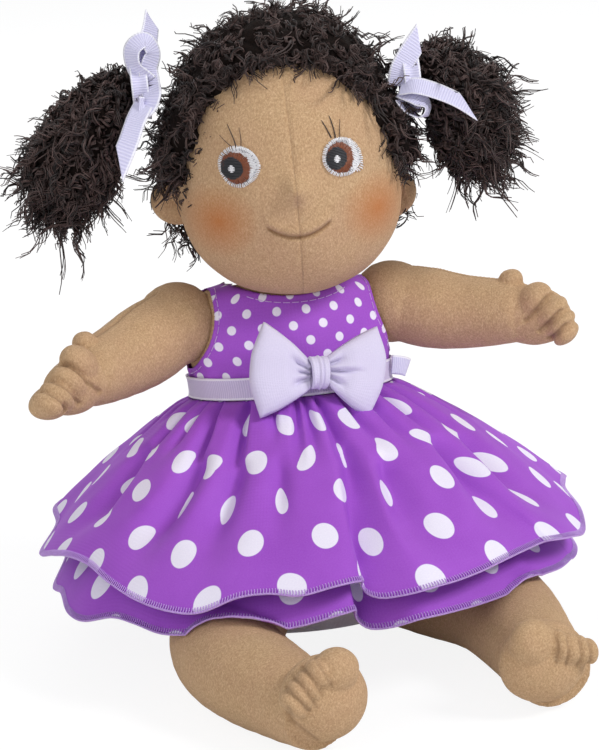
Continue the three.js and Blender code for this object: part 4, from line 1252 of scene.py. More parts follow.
def curled(rng, roots, heads, reach, ring, turns, curl):
    """Locks of curled strands: each leaves its root along its heading in the loops of a helix."""
    count = len(roots)
    fellows, steps, thick = curl
    side = unit_rows(np.cross(heads, rng.normal(size=(count, 3))))
    other = np.cross(heads, side)
    phase = rng.uniform(0, tau, count)
    hand = np.where(rng.random(count) < 0.5, -1, 1)
    share = np.linspace(0, 1, steps)
    bend = rng.normal(scale=0.4, size=(count, 3)) + np.array([0, 0, -0.2])
    lines = []
    for _ in range(fellows):
        wander = rng.normal(scale=0.38, size=(count, 3))
        far = (reach * rng.uniform(0.75, 1.2, count))[:, None]
        wide = ring * rng.uniform(0.8, 1.2, count)
        start = (phase + rng.normal(scale=0.2, size=count))[:, None]
        angle = start + (hand * turns * tau)[:, None] * share
        grow = wide[:, None] * (0.5 + 0.5 * np.sin(np.clip(share * 1.5, 0, 1) * pi / 2))
        loop = grow[:, :, None] * (
            np.cos(angle)[:, :, None] * side[:, None] + np.sin(angle)[:, :, None] * other[:, None]
        )
        middle = roots[:, None] + heads[:, None] * (far * share)[:, :, None]
        middle = middle + bend[:, None] * (far * share**2)[:, :, None]
        middle = middle + wander[:, None] * (0.3 + 0.7 * share)[None, :, None]
        line = middle + loop - loop[:, :1] * (1 - share * 0.5)[None, :, None]
        radii = thick * rng.uniform(0.8, 1.25, count)[:, None] * (1 - 0.5 * share**2)
        lines.extend(zip(line, radii))
    return lines


def hair_piece(name, lines, body):
    placed(tube_lines(name, lines, "curled_mohair_pile", 0, False), body, "hair_pile")


def add_hair_cap():
    """The hair on the head: a dark under form with curled locks sewn all over it."""
    rng = np.random.default_rng(11)

    def depth(skin, full):
        """How thick the cap is: thin at its edge, and drawn in at the ties."""
        inside = hairline(skin)
        if inside <= 0:
            return -2.0
        ties = min((skin - tie_base(side)).length for side in SIDES)
        edge = sqrt(max(0.0, 1 - (1 - min(1, inside / 7)) ** 2))
        dish = 0.45 + 0.55 * smooth(9, 22, ties)
        return full * edge * dish

    def form(full):
        shape = bmesh.new()
        bmesh.ops.create_icosphere(shape, subdivisions=6, radius=1)
        for vert in shape.verts:
            unit = vert.co.normalized()
            skin = head_surface(unit, 0)
            thick = depth(skin, full)
            if thick > 1:
                thick += lumps(skin, 17) * 0.6
            vert.co = HEAD @ head_surface(unit, thick)
        turned_out(shape)
        return shape

    # Its near-black colour is painted shade between the curls.
    under = finished("hair_cap_under", form(5.6), "hair_shade_under_form")
    placed(under, "head", "hair_pile", "hair_cap")
    to_head = HEAD.inverted()

    def allowed(point):
        """More locks near the hairline, and none outside it."""
        inside = hairline(head_surface(head_unit(to_head @ point), 0))
        return 0.0 if inside < 0.3 else 1.0 + 1.6 * bell(inside, 4)

    for part in range(4):
        roots, out = spread_over(form(5.4), CAP_LOCKS, rng, allowed)
        flow = unit_rows(rng.normal(size=out.shape) + np.array([0, -0.1, -0.45]))
        heads = unit_rows(out * 0.8 + flow * 0.95)
        count = len(roots)
        reach, ring = rng.uniform(4.0, 8.5, count), rng.uniform(0.9, 1.9, count)
        lines = curled(rng, roots - out * 0.6, heads, reach, ring, rng.uniform(1.1, 2.3, count), CAP_CURL)
        hair_piece(f"hair_cap_curls_{part}", lines, "head")
    add_wisps(rng)


def add_wisps(rng):
    """Loose curls that fall from the hairline on to the forehead and beside the ears."""
    roots, heads, reach = [], [], []
    for _ in range(90):
        turn = radians(rng.uniform(-70, 70))
        skin = Vector((sin(turn) * 34, -24, cos(turn) * 44))
        for _ in range(30):
            skin = head_surface(head_unit(skin), 0)
            if hairline(skin) > 0.8:
                break
            skin = skin + Vector((0, 1.2, 0.6))
        roots.append(HEAD @ head_surface(head_unit(skin), 3.6))
        heads.append(HEAD.to_3x3() @ Vector((rng.normal(scale=0.6), -0.9, -0.2 + rng.normal(scale=0.35))))
        reach.append(rng.uniform(2.4, 5.0))
    for sign in SIDES.values():
        for _ in range(9):
            at = Vector((sign * (HEAD_WIDE * 0.99), rng.uniform(4, 15), rng.uniform(-22, 0)))
            roots.append(HEAD @ (at + Vector((sign * 2.5, 0, 0))))
            heads.append(HEAD.to_3x3() @ Vector((sign * 0.5, rng.normal(scale=0.5), -0.8)))
            reach.append(rng.uniform(4, 9))
    roots, heads = np.array([r[:] for r in roots]), unit_rows(np.array([h[:] for h in heads]))
    ring, turns = rng.uniform(0.9, 1.8, len(roots)), rng.uniform(0.9, 1.8, len(roots))
    hair_piece("hair_wisps", curled(rng, roots, heads, np.array(reach), ring, turns, WISP_CURL), "head")


def add_ponytail(side):
    """A bunch of curled locks that hangs from its tie, wide below and thin at its tip."""
    rng = np.random.default_rng(21 if side == "left" else 22)
    rows, sign = TAIL_BUNCH[side], SIDES[side]
    points = [HEAD @ (tie_base(side) + Vector((sign * out, 0, up))) for out, up, _, _ in rows]
    start = points[0]

    def form(inset):
        shape = bmesh.new()
        sections = [
            (i / (len(rows) - 1), max(1.0, deep - inset), max(1.0, wide - inset))
            for i, (_, _, deep, wide) in enumerate(rows)
        ]
        stuffed(shape, points, (0, -1, 0), sections, 48, 56)
        middle = spline(points, 0.5)
        for vert in shape.verts:
            away = (vert.co - middle).normalized()
            far = min(1, max(0.0, (vert.co - start).length / 12 - 0.8))
            vert.co += away * far * lumps(vert.co, 15) * 0.8
        turned_out(shape)
        return shape

    body = f"ponytail_{side}"
    # Its near-black colour is painted shade between the curls.
    under = finished(f"{body}_under", form(4.0), "hair_shade_under_form")
    placed(under, body, "hair_pile", body)
    path = np.array([spline(points, i / 40)[:] for i in range(41)])
    flow = unit_rows(np.gradient(path, axis=0))

    def allowed(point):
        return smooth(4, 12, (point - start).length) + 0.1

    for part in range(3):
        roots, out = spread_over(form(3.6), TAIL_LOCKS, rng, allowed, in_order=False)
        nearest = ((roots[:, None] - path[None]) ** 2).sum(-1).argmin(1)
        spread = unit_rows(roots - np.array(start[:]))
        wild = rng.normal(scale=0.33, size=out.shape)
        heads = unit_rows(out * 0.55 + spread * 0.9 + flow[nearest] * 0.25 + wild)
        count = len(roots)
        reach = rng.uniform(5.0, 12.0, count) * (0.45 + 0.55 * np.clip(nearest / 40 * 3, 0, 1))
        ring, turns = rng.uniform(0.8, 1.7, count), rng.uniform(1.1, 2.4, count)
        lines = curled(rng, roots - out * 1.2, heads, reach, ring, turns, TAIL_CURL)
        hair_piece(f"{body}_curls_{part}", lines, body)


# Ribbons ----------


def strip(name, points, faces, width, material, cut=0.0, thickness=0.4, rows=60):
    """A flat ribbon along a path, in mm. faces gives the way it looks at each point; cut slants its end."""
    total = sum((spline(points, i / 40) - spline(points, (i + 1) / 40)).length for i in range(40))

    def share_at(u, v):
        slant = cut * u if cut > 0 else -cut * (1 - u)
        return v * (1 - slant * width / total)

    def place(u, v):
        share = share_at(u, v)
        along = heading(points, share)
        look = spline(faces, share).normalized()
        wide = along.cross(look).normalized()
        return spline(points, share) + wide * ((u - 0.5) * width)

    def flat(u, v):
        return share_at(u, v) * total, u * width

    piece = finished(name, sheet_grid(8, rows, place, flat), material)
    return walled(piece, thickness, 0.0, False)


def tie_frame(side):
    """Turns (across, back, up) in mm from the tie into a point of the doll."""
    return lambda *place: HEAD @ (tie_base(side) + Vector(place))


# The free parts of each hair ribbon: points of the middle, across, back and up from the tie in mm; the way
# that the ribbon faces at each; and how far its end slants, 0 where it is tucked in.
HAIR_RIBBONS = {
    "right": {
        "loop": (
            [
                (-2, -9.6, 2.0), (-6.6, -10.4, 8.6), (-6.2, -9.8, 14.6), (-1.6, -8.6, 17.0),
                (0.9, -8.0, 12.5), (-1.2, -8.8, 6.8), (-1.6, -9.4, 1.0),
            ],
            [
                (-0.6, -1, 0.2), (-0.9, -0.8, 0.1), (-0.6, -0.8, 0.5), (0.1, -0.7, 0.9),
                (0.9, -0.8, 0.2), (0.6, -1, 0), (0, -1, 0),
            ],
            0.0,
        ),
        "tail_up": (
            [(-1.4, -6.0, 6), (-0.5, -4.8, 14.5), (1.2, -3.0, 20.5), (2.2, -1.2, 25.5)],
            [(0.4, -1, 0), (0.5, -1, 0), (0.7, -0.8, 0), (0.8, -0.6, 0)],
            0.9,
        ),
        "fold": (
            [(-1.2, -10.6, 1.0), (-1.4, -13.4, -2.2), (-3.6, -15.8, -5.6), (-6.4, -16.2, -5.2)],
            [(-0.5, -1, 0.5), (-0.5, -0.9, 0.6), (-0.7, -0.9, 0.4), (-0.9, -0.6, 0.2)],
            0.0,
        ),
        "tail": (
            [(-4.6, -15.2, -4.6), (-7.6, -17.4, -8.8), (-11.6, -20.4, -16.6), (-18.2, -23.6, -28.0)],
            [(-0.5, -1, 0.3), (-0.5, -1, 0.2), (-0.4, -1, 0.2), (-0.35, -1, 0.25)],
            1.0,
        ),
    },
    "left": {
        "tail_up": (
            [(-0.4, -10.0, -0.5), (1.0, -10.0, 5.0), (5.2, -8.8, 11.0), (11.5, -6.8, 18.0)],
            [(0.1, -1, 0.2), (0.1, -1, 0.25), (0, -1, 0.35), (0, -1, 0.4)],
            0.8,
        ),
        "leaf": (
            [
                (0.2, -12.4, -1.0), (5.0, -14.6, -0.2), (12.0, -16.0, -2.4), (20.0, -17.4, -6.6),
                (27.5, -18.6, -12.4),
            ],
            [(0, -0.6, 1), (0, -0.75, 0.9), (0.1, -0.7, 0.9), (0.2, -0.6, 0.9), (0.2, -0.5, 0.9)],
            -1.1,
        ),
        "loop": (
            [
                (0.6, -12.2, -1.6), (6.0, -15.8, -4.6), (9.0, -17.6, -8.0), (7.6, -17.8, -11.0),
                (3.6, -15.4, -10.0), (0.8, -12.4, -4.6),
            ],
            [
                (0.2, -0.9, 0.7), (0.5, -0.9, 0.6), (1, -0.4, 0.2), (0.7, -0.5, -0.9), (0, -0.2, -1),
                (-0.2, 0.3, -1),
            ],
            0.0,
        ),
    },
}


def add_hair_ribbons():
    """Each ribbon is wound round its tie, with a loop and tails that stand and hang."""
    material = "lavender_grosgrain_ribbon"
    turn_only = HEAD.to_3x3()
    for side, parts in HAIR_RIBBONS.items():
        at = tie_frame(side)
        sign = SIDES[side]

        def wound(u, v, at=at, sign=sign):
            turn = u * tau
            radius = 11.4 + 0.5 * sin(3 * turn) + 0.4 * cos(v * tau)
            return at(sign * (2.1 + 6.0 * v), radius * cos(turn), radius * sin(turn))

        shape = sheet_grid(96, 10, wound, lambda u, v: (u * 66, v * RIBBON), wrap=True)
        wrap = walled(finished(f"hair_ribbon_{side}_wrap", shape, material), 0.6)
        placed(wrap, f"ponytail_{side}", "ribbon", f"hair_ribbon_{side}")
        for part, (path, faces, cut) in parts.items():
            points = [at(*p) for p in path]
            looks = [turn_only @ Vector(f) for f in faces]
            piece = strip(f"hair_ribbon_{side}_{part}", points, looks, 7.6, material, cut)
            placed(piece, f"ponytail_{side}", "ribbon")


# Dress ----------

ARMHOLE = 17.2
# The neckline is the lower half of an ellipse: half its width, its middle's height and its drop.
NECK_WIDE, NECK_TOP, NECK_RISE = 25.0, TOP + 5.0, 10.0
BODICE_OUT = 1.35
CLOSING = 0.5 * pi


def neckline_height(across):
    """Where the neckline lies, up the torso's axis."""
    return NECK_TOP - NECK_RISE * sqrt(max(0.001, 1 - (across / NECK_WIDE) ** 2))


def neckline_room(point):
    """Below 0 inside the neck opening, in the torso's own axes."""
    return (point.x / NECK_WIDE) ** 2 + ((point.z - NECK_TOP) / NECK_RISE) ** 2 - 1


def add_bodice():
    """The bodice: dotted cotton cut with a neckline and armholes, folded in and stitched."""
    unlean = LEAN.inverted()
    holes = {side: unlean @ shoulder_of(side) for side in SIDES}
    top = TOP + 0.2

    # The length round the body at each turn, so that the dots stay round.
    arc = [0.0]
    for i in range(720):
        a, b = (torso_point(radians(k / 2), 108, BODICE_OUT) for k in (i, i + 1))
        arc.append(arc[-1] + (b - a).length)

    def round_length(turn):
        """The length round the body up to a turn."""
        place = in_degrees(turn) * 2
        turns, rest = divmod(place, 720)
        low = int(rest)
        return turns * arc[-1] + arc[low] + (arc[min(720, low + 1)] - arc[low]) * (rest - low)

    def ripple(turn, height):
        """Small puckers above the waist seam."""
        low = 0.3 * sin(turn * 23) * bell(height - WAIST - 9, 3.5)
        return low + 0.35 * sin(turn * 9 + 1) * bell(height - WAIST - 14, 9)

    def panel(name, first, last, extra, thick, node):
        """A panel from one turn to another, this much further out and this thick."""
        columns, rows = int((last - first) / tau * 400), 80

        def place(u, v):
            turn = first + (last - first) * u
            height = WAIST + (top - WAIST) * v
            lift = extra * (0.6 + 0.4 * smooth(8, 10, height - WAIST))
            return torso_point(turn, height, BODICE_OUT + lift + ripple(turn, height))

        def flat(u, v):
            return round_length(first + (last - first) * u) + 4.0, (top - WAIST) * v * 1.02

        shape = sheet_grid(columns, rows, place, flat)

        def opening(point):
            """Below 0 inside the neck opening or an armhole."""
            local = unlean @ point
            arms = min((local - hole).length - ARMHOLE for hole in holes.values())
            return min(neckline_room(local) * 9, arms)

        gone = [face for face in shape.faces if opening(face.calc_center_median()) < 0]
        bmesh.ops.delete(shape, geom=gone, context="FACES")
        for vert in [v for v in shape.verts if v.is_boundary]:
            local = unlean @ vert.co
            if local.z < WAIST + 1:
                continue
            for hole in holes.values():
                away = local - hole
                if abs(away.length - ARMHOLE) < 0.9:
                    local = hole + away * (ARMHOLE / away.length)
            if abs(local.x) < 20.5 and abs(neckline_height(local.x) - local.z) < 1.0:
                local.z = neckline_height(local.x)
            vert.co = LEAN @ local
        thin = [v for v in shape.verts if len(v.link_faces) == 1 and (unlean @ v.co).z > TOP - 12]
        bmesh.ops.delete(shape, geom=thin, context="VERTS")
        turned_out(shape)
        outward = sum(f.normal.dot(f.calc_center_median() - leaned(0, 0, 110)) for f in shape.faces)
        if outward < 0:
            bmesh.ops.reverse_faces(shape, faces=shape.faces)
        piece = walled(finished(name, shape, "small_dotted_cotton"), thick, -1.0, False)
        placed(piece, "torso", "dotted_cotton", node)
        return piece

    front = panel("bodice_front_cloth", pi, tau, 0, 0.9, "bodice_front")
    right = panel("bodice_back_right_cloth", CLOSING + 0.005, pi, 0, 0.9, "bodice_back_right")
    left = panel("bodice_back_left_cloth", 0, CLOSING + 0.26, 0.9, 0.45, "bodice_back_left")
    add_bodice_stitches(holes)
    # The closing lies between the two back panels, hooks on the lower one and loops under the upper one.
    for name, out in (("hook_tape", 1.57), ("loop_tape", 1.78)):

        def place(u, v, out=out):
            turn, height = CLOSING + 0.02 + 0.22 * u, WAIST + 9 + 22 * v
            return torso_point(turn, height, out + ripple(turn, height))

        shape = sheet_grid(10, 30, place, lambda u, v: (u * 7, v * 22))
        tape = walled(finished(f"{name}_strip", shape, "hook_and_loop_tape"), 0.18)
        placed(tape, "torso", "closing_tape", name)


def add_bodice_stitches(holes):
    """Running stitches beside the folded edges of the neckline and the armholes."""
    lines = []

    def stitch_row(path, stitch=2.6, space=0.8):
        """Short threads along a path of points, with spaces between them."""
        lengths = [0.0]
        for a, b in zip(path, path[1:]):
            lengths.append(lengths[-1] + (b - a).length)
        at = 0.0
        while at + stitch < lengths[-1]:
            chosen = []
            for k in range(4):
                want = at + stitch * k / 3
                i = next(n for n in range(1, len(lengths)) if lengths[n] >= want)
                share = (want - lengths[i - 1]) / max(1e-6, lengths[i] - lengths[i - 1])
                chosen.append(path[i - 1].lerp(path[i], share))
            lines.append((chosen, 0.16))
            at += stitch + space

    neck = []
    for i in range(90):
        x = -19.0 + 38 * i / 89
        height = neckline_height(x) - 2.6
        turn = -acos(max(-1, min(1, x / (torso_size(height)[0] + 1.4))))
        neck.append(torso_point(turn, height, 1.5))
    stitch_row(neck)
    unlean = LEAN.inverted()
    for side, hole in holes.items():
        for ahead in (-1, 1):
            arc = []
            for i in range(60):
                height = hole.z - ARMHOLE - 2 + (TOP + ARMHOLE + 1 - hole.z) * i / 59
                for k in range(280):
                    turn = ahead * radians(k / 4)
                    point = torso_point(turn if SIDES[side] > 0 else pi - turn, height, 1.5)
                    if (unlean @ point - hole).length > ARMHOLE + 1.8:
                        break
                if k > 0:
                    arc.append(point)
            if len(arc) > 4:
                stitch_row(arc)
    stitches = tube_lines("bodice_stitches", lines, "lilac_stitch_thread")
    placed(stitches, "torso", "dotted_cotton")


def add_waist_ribbon():
    """The ribbon round the waist, with its woven edges raised, and the end that shows beside the bow."""

    def place(u, v):
        turn = CLOSING + u * tau
        lift = 2.55 + 0.12 * sin(u * 40) + 0.25 * bell(v - 1, 0.12) + 0.25 * bell(v, 0.12)
        return torso_point(turn, WAIST + 0.1 + 7.9 * v, lift)

    shape = sheet_grid(260, 12, place, lambda u, v: (u * 210, v * RIBBON), wrap=True)
    ribbon = walled(finished("waist_ribbon_band", shape, "grey_lilac_grosgrain_ribbon"), 0.6)
    placed(ribbon, "torso", "ribbon", "waist_ribbon")
    points = [leaned(WAIST_WIDE + x, y, z) for x, y, z in ((-1, -15, 96), (3.5, -14, 95), (7.0, -11.5, 93.5))]
    looks = [Vector((0.4, -1, 0.2))] * 3
    stub = strip("waist_ribbon_end", points, looks, 7.2, "lavender_grosgrain_ribbon", 0.3, rows=20)
    placed(stub, "torso", "ribbon")


# The hem of each tier all round: turn in degrees, how far it stands out as a share of FOLD_DEPTH, and
# how far it lifts as a share of FOLD_RISE.
FOLD_DEPTH, FOLD_RISE = 5.0, 10.0
HEM_ROWS = {
    "over": [
        (0, 1, 0), (12, -0.8, 0.61), (26, 1, -0.25), (41, -1, 0.42), (55, 1, -0.29), (70, -1, 0.53),
        (84, 1, -0.05), (99, -0.8, 0.78), (113, 1, 0.2), (128, -1, 0.91), (142, 0.8, 0.29), (156, -1, 0.76),
        (168, 0, 0.09), (180, -0.6, 0.8), (189, -0.8, 1.27), (198, -0.9, 1.34), (208, 0, 0.84),
        (217, 0.8, 0.27), (225, 1.2, -0.1), (231, 1.1, -0.13), (238, 0.2, 0.47), (244, -0.2, 0.59),
        (250, 0.1, 0.38), (256, -0.2, 0.57), (262, -0.6, 0.74), (266, -0.8, 0.79), (270, 0.7, -0.05),
        (278, 0.6, -0.1), (286, 0.4, 0.03), (295, 0, 0.25), (303, -0.3, 0.34), (308, 0.5, 0.23),
        (315, 1, -0.05), (326, 1, -0.4), (335, 0.4, 0.09), (345, -0.6, 0.66), (352, 0, 0.49),
    ],
    "under": [
        (0, 0.6, -0.1), (13, -0.8, 0.51), (27, 1, -0.35), (42, -1, 0.43), (57, 1, -0.27), (72, -1, 0.55),
        (86, 1, -0.03), (101, -0.8, 0.8), (115, 1, 0.21), (129, -1, 0.91), (143, 0.8, 0.2), (157, -1, 0.66),
        (168, -0.2, -0.11), (180, -0.4, 0.3), (192, 0.6, -0.05), (199, 0.8, -0.02), (206, 0, 0.48),
        (213, 0.2, 0.4), (221, 0.6, 0.09), (230, 0.4, 0.14), (240, 0.4, 0.08), (250, 0, 0.28),
        (259, -0.4, 0.58), (264, -0.6, 0.66), (268, 0.5, -0.08), (275, 0.6, -0.19), (284, 0.4, -0.19),
        (295, 0.2, -0.15), (309, 0.2, -0.01), (320, 0.6, -0.25), (334, 0.8, -0.32), (346, -0.4, 0.36),
    ],
}
# Pleats where a hem doubles back on itself: turn, width and overlap in degrees.
HEM_PLEATS = {"over": [(268, 3.2, 3.9), (304, 3.6, -3.0)], "under": [(266, 3.2, 3.4), (322, 3.0, -3.5)]}
# How much deeper every valley is drawn than its depth below.
VALLEY = 1.6
# Valleys of the gathered cloth: turn in degrees and share down at points of each line, then its depth in mm
# and its half width in degrees. At the sides and the back, regular ones follow.
FOLDS = [
    ([(191, 0), (189, 0.42)], 4.6, 2.2),
    ([(203, 0), (202, 0.36)], 4.4, 2.0),
    ([(214, 0), (216, 0.18), (216, 0.5)], 5.6, 2.2),
    ([(232, 0), (232, 0.56)], 5.6, 2.2),
    ([(246, 0), (246.5, 0.26)], 3.4, 1.8),
    ([(258.5, 0), (253.5, 0.4)], 4.0, 1.8),
    ([(263.5, 0), (259.5, 0.42)], 4.4, 1.8),
    ([(270.5, 0), (270.5, 0.24), (268, 0.6)], 5.4, 2.2),
    ([(283, 0), (285, 0.4)], 4.4, 2.0),
    ([(295.5, 0), (297, 0.42)], 4.6, 2.2),
    ([(308, 0), (310, 0.4)], 4.4, 2.2),
    ([(322, 0), (323, 0.42)], 4.4, 2.2),
    ([(186.5, 0.3), (187.5, 0.74), (183, 0.95)], 5.4, 3.0),
    ([(219.5, 0.26), (213, 0.71), (210, 0.95)], 5.8, 3.0),
    ([(234, 0.28), (230.5, 0.62), (229.5, 0.85)], 5.2, 2.8),
    ([(248, 0.3), (246.5, 0.6), (245.5, 0.8)], 2.8, 2.2),
    ([(272.5, 0.22), (267.5, 0.81), (267.5, 1)], 6.2, 2.4),
    ([(282.5, 0.34), (279, 0.66), (278, 0.9)], 5.0, 2.8),
    ([(309, 0.3), (304, 0.7), (301, 0.95)], 5.2, 2.6),
    ([(323, 0.34), (318, 0.7), (316, 0.92)], 4.6, 3.0),
]
for step in range(43):
    fold_at = 8.4 * step + 2.4 * sin(step * 2.4)
    if not 184 < fold_at < 328:
        fold_end = fold_at + 2.5 * sin(step * 1.3)
        fold_reach = 0.34 + 0.16 * sin(step * 1.7)
        FOLDS.append(([(fold_at, 0), (fold_end, fold_reach)], 3.8 + 1.1 * sin(step * 2.9), 1.9))


def fold_turn(line, down):
    """The turn of a valley's line at a share down, held at its ends."""
    for (a, low), (b, high) in zip(line, line[1:]):
        if down <= high:
            return a + (b - a) * max(0.0, (down - low) / (high - low))
    return line[-1][0]


def turned_away(first, second):
    """How many degrees one turn is from another, -180 to 180."""
    return (first - second + 180) % 360 - 180


def fold_shows(line, down):
    """How much of a valley's depth shows at a share down."""
    start, end = line[0][1], line[-1][1]
    fade = 1.0 if end > 0.99 else smooth(end + 0.02, end - 0.6 * (end - start), down)
    return fade * (smooth(start - 0.02, start + 0.16, down) if start > 0.06 else 1.0)


def fold_depth(degrees, down):
    """How deep the cloth lies in its valleys, in mm."""
    deepest = 0.0
    for line, deep, wide in FOLDS:
        away = turned_away(degrees, fold_turn(line, down))
        wide *= 1 + 0.9 * down
        if abs(away) < 2.6 * wide:
            deepest = max(deepest, VALLEY * deep * fold_shows(line, down) * bell(away, wide))
    return deepest


# Balls along both legs, as place and radius, which the skirts rest on.
LEG_BALLS = np.array(
    [
        (*spline(leg_path(side), i / 24), THIGH + (SHIN - THIGH) * (i / 24) ** 1.5)
        for side in SIDES
        for i in range(25)
    ]
)


def leg_top(x, y):
    """How high the legs are at a place on the floor, and 0 beside them."""
    room = LEG_BALLS[:, 3] ** 2 - (x - LEG_BALLS[:, 0]) ** 2 - (y - LEG_BALLS[:, 1]) ** 2
    inside = room > 0
    return float((LEG_BALLS[inside, 2] + np.sqrt(room[inside])).max()) if inside.any() else 0.0


def hem_at(tier, turn):
    """How far the hem stands out and lifts at a turn in degrees, in mm."""
    rows = HEM_ROWS[tier]
    turn %= 360
    after = next((i for i, row in enumerate(rows) if row[0] > turn), len(rows))
    count = len(rows)

    def row(i):
        """A row of the table that goes on round past its ends."""
        angle, out, level = rows[i % count]
        return (angle + 360 * (i // count), out, level)

    a, b, c, d = (row(after + k) for k in (-2, -1, 0, 1))
    if a[0] > b[0]:
        a = (a[0] - 360, a[1], a[2])
    span = c[0] - b[0]
    made = []
    for k in (1, 2):
        start = (c[k] - a[k]) / (c[0] - a[0]) * span
        end = (d[k] - b[k]) / (d[0] - b[0]) * span
        made.append(eased(b[k], c[k], start, end, (turn - b[0]) / span))
    return made[0] * FOLD_DEPTH, made[1] * FOLD_RISE


def skirt_point(tier, degrees, down, outside):
    """A point of a tier: its turn about the waist and its share down to the hem."""
    shifted = degrees
    for at, width, lap in HEM_PLEATS[tier]:
        shifted -= lap * bell(degrees - at, width) * smooth(0.25, 1.0, down)
    turn, even = radians(shifted), radians(degrees)
    out, lift = hem_at(tier, degrees)
    across, back = cos(turn), sin(turn)
    top = leaned((WAIST_WIDE + outside) * across, (WAIST_DEEP + outside) * back, WAIST - 0.3)
    reach = 104.5 if back < 0 else 94
    level = 26 + 9 * max(0, -back) ** 2 + 5 * across + (9 if tier == "over" else 0)
    hem = Vector((96 * across, reach * back, level))
    swell = top.lerp(hem, 0.55)
    swell.z = top.z + (hem.z - top.z) * 0.35
    point = top * (1 - down) ** 2 + swell * (2 * down * (1 - down)) + hem * down**2
    point.z += lift * down**1.6
    outward = Vector((across, back, 0.6 * down)).normalized()
    rise = smooth(0.0, 0.06, down)
    wave = 1.3 * rise * (1 - smooth(0.05, 0.42, down)) - fold_depth(degrees, down) * (0.3 + 0.7 * rise)
    crumple = sin(23 * even + 9 * down) * sin(13 * down + 5 * even + 1)
    wave += 0.35 * crumple * sin(pi * down)
    wave += out * down**1.25
    point += outward * (outside * down + wave)
    rest = leg_top(point.x, point.y) + 1.4 + outside * 1.5
    if point.z < rest:
        point.z = rest
    return point


# The stretches round a skirt in each of which the hidden cloth is shared out.
GORES = 15
# How far out each tier lies at the waist, and how much more at the hem.
TIERS = {"under": (1.5, 0.0), "over": (3.0, 2.4)}


def add_skirts():
    """The two gathered tiers: deep gathers at the waist that open into broad folds."""
    columns, rows = 600, 46
    for tier, (outside, spread) in TIERS.items():
        table = np.zeros((rows + 1, columns + 1, 3))
        tucked = np.zeros((rows + 1, columns))
        for r in range(rows + 1):
            down = r / rows
            for c in range(columns + 1):
                table[r, c] = skirt_point(tier, 360 * c / columns, down, outside + spread * down)
            middles = 360 * (np.arange(columns) + 0.5) / columns
            tucked[r] = 0.12 + 0.3 * down
            for line, deep, _ in FOLDS:
                away = turned_away(middles, fold_turn(line, down))
                tucked[r] += deep * fold_shows(line, down) * np.exp(-((away / 1.3) ** 2))
        steps = np.linalg.norm(np.diff(table, axis=1), axis=2)
        hem_length = steps[-1].sum()
        # The print runs on through cloth that the valleys hide, so that its dots keep their size.
        along = np.zeros((rows + 1, columns + 1))
        for r in range(rows + 1):
            hidden = np.zeros(columns)
            for first in range(0, columns, columns // GORES):
                part = slice(first, first + columns // GORES)
                missing = steps[-1, part].sum() - steps[r, part].sum()
                hidden[part] = missing * tucked[r, part] / tucked[r, part].sum()
            along[r, 1:] = np.cumsum(steps[r] + hidden)
        down_steps = np.linalg.norm(np.diff(table, axis=0), axis=2).mean(1)
        downs = np.concatenate([[0], np.cumsum(down_steps)])
        area = float((steps[:-1] + steps[1:]).sum(1).dot(down_steps) / 2)
        # One dot of the print lies at the front left of the doll's right knee.
        row, column = round(0.76 * rows), round(240 / 360 * columns)
        print_along, print_down = PRINT
        along += print_along / 2 - along[row, column] % print_along
        if tier == "over":
            downs += print_down * 4.5 - downs[row]
        else:
            downs += print_down * 6 + 4.5 - downs[-1]

        def place(u, v, table=table):
            return Vector(table[round(v * rows), round(u * columns)])

        def flat(u, v, along=along, downs=downs):
            r, c = round(v * rows), round(u * columns)
            return along[r, c], downs[r]

        shape = sheet_grid(columns, rows, place, flat, wrap=True)
        skirt = walled(finished(f"skirt_{tier}_cloth", shape, "large_dotted_cotton"), 0.6)
        placed(skirt, "torso", "dotted_cotton", f"skirt_{tier}")
        hem = add_hem(tier, table[-1], table[-3])
        wide, deep = hem_length * MM, (downs[-1] - downs[0]) * MM


# The rolled edge's radius, and from one overlock stitch to the next.
HEM_THREAD, HEM_STITCH = 0.42, 1.05


def add_hem(tier, edge, above):
    """The overlocked hem: a rolled edge thread and short stitches across it."""
    edge = [Vector(p) for p in edge]
    up = [(Vector(a) - e).normalized() for a, e in zip(above, edge)]
    lines = [([e - u * 0.1 for e, u in zip(edge, up)], HEM_THREAD)]
    at, want = 0.0, 0.0
    for i in range(len(edge) - 1):
        step = (edge[i + 1] - edge[i]).length
        while want < at + step:
            share = (want - at) / step
            low = edge[i].lerp(edge[i + 1], share)
            rise = up[i]
            ahead = (edge[i + 1] - edge[i]).normalized()
            out = ahead.cross(rise).normalized()
            if out.dot(low) < 0:
                out = -out
            stitch = [
                low + out * HEM_THREAD - rise * 0.3,
                low + out * 0.3 + rise * 1.0 + ahead * 0.15,
                low + out * 0.1 + rise * 2.1,
            ]
            lines.append((stitch, 0.2))
            want += HEM_STITCH
        at += step
    hem = tube_lines(f"skirt_{tier}_overlock", lines, "lilac_overlock_thread")
    placed(hem, "torso", "dotted_cotton")
    return hem


def add_underpants():
    """The underpants: white jersey over the seat, gathered at the top edge."""

    def place(u, v):
        turn = u * tau
        height = UNDERPANTS_TOP * v
        point = torso_point(turn, height, 1.3 + 0.3 * sin(turn * 40) * smooth(0.9, 1, v))
        if v == 0:
            point = leaned(0, 0, 0)
        point.z = max(point.z, 0.05)
        return point

    shape = sheet_grid(120, 32, place, lambda u, v: (u * 250, v * 60), wrap=True)
    pants = walled(finished("underpants_cloth", shape, "white_cotton_jersey"), 0.8)
    placed(pants, "torso", "white_jersey", "underpants")


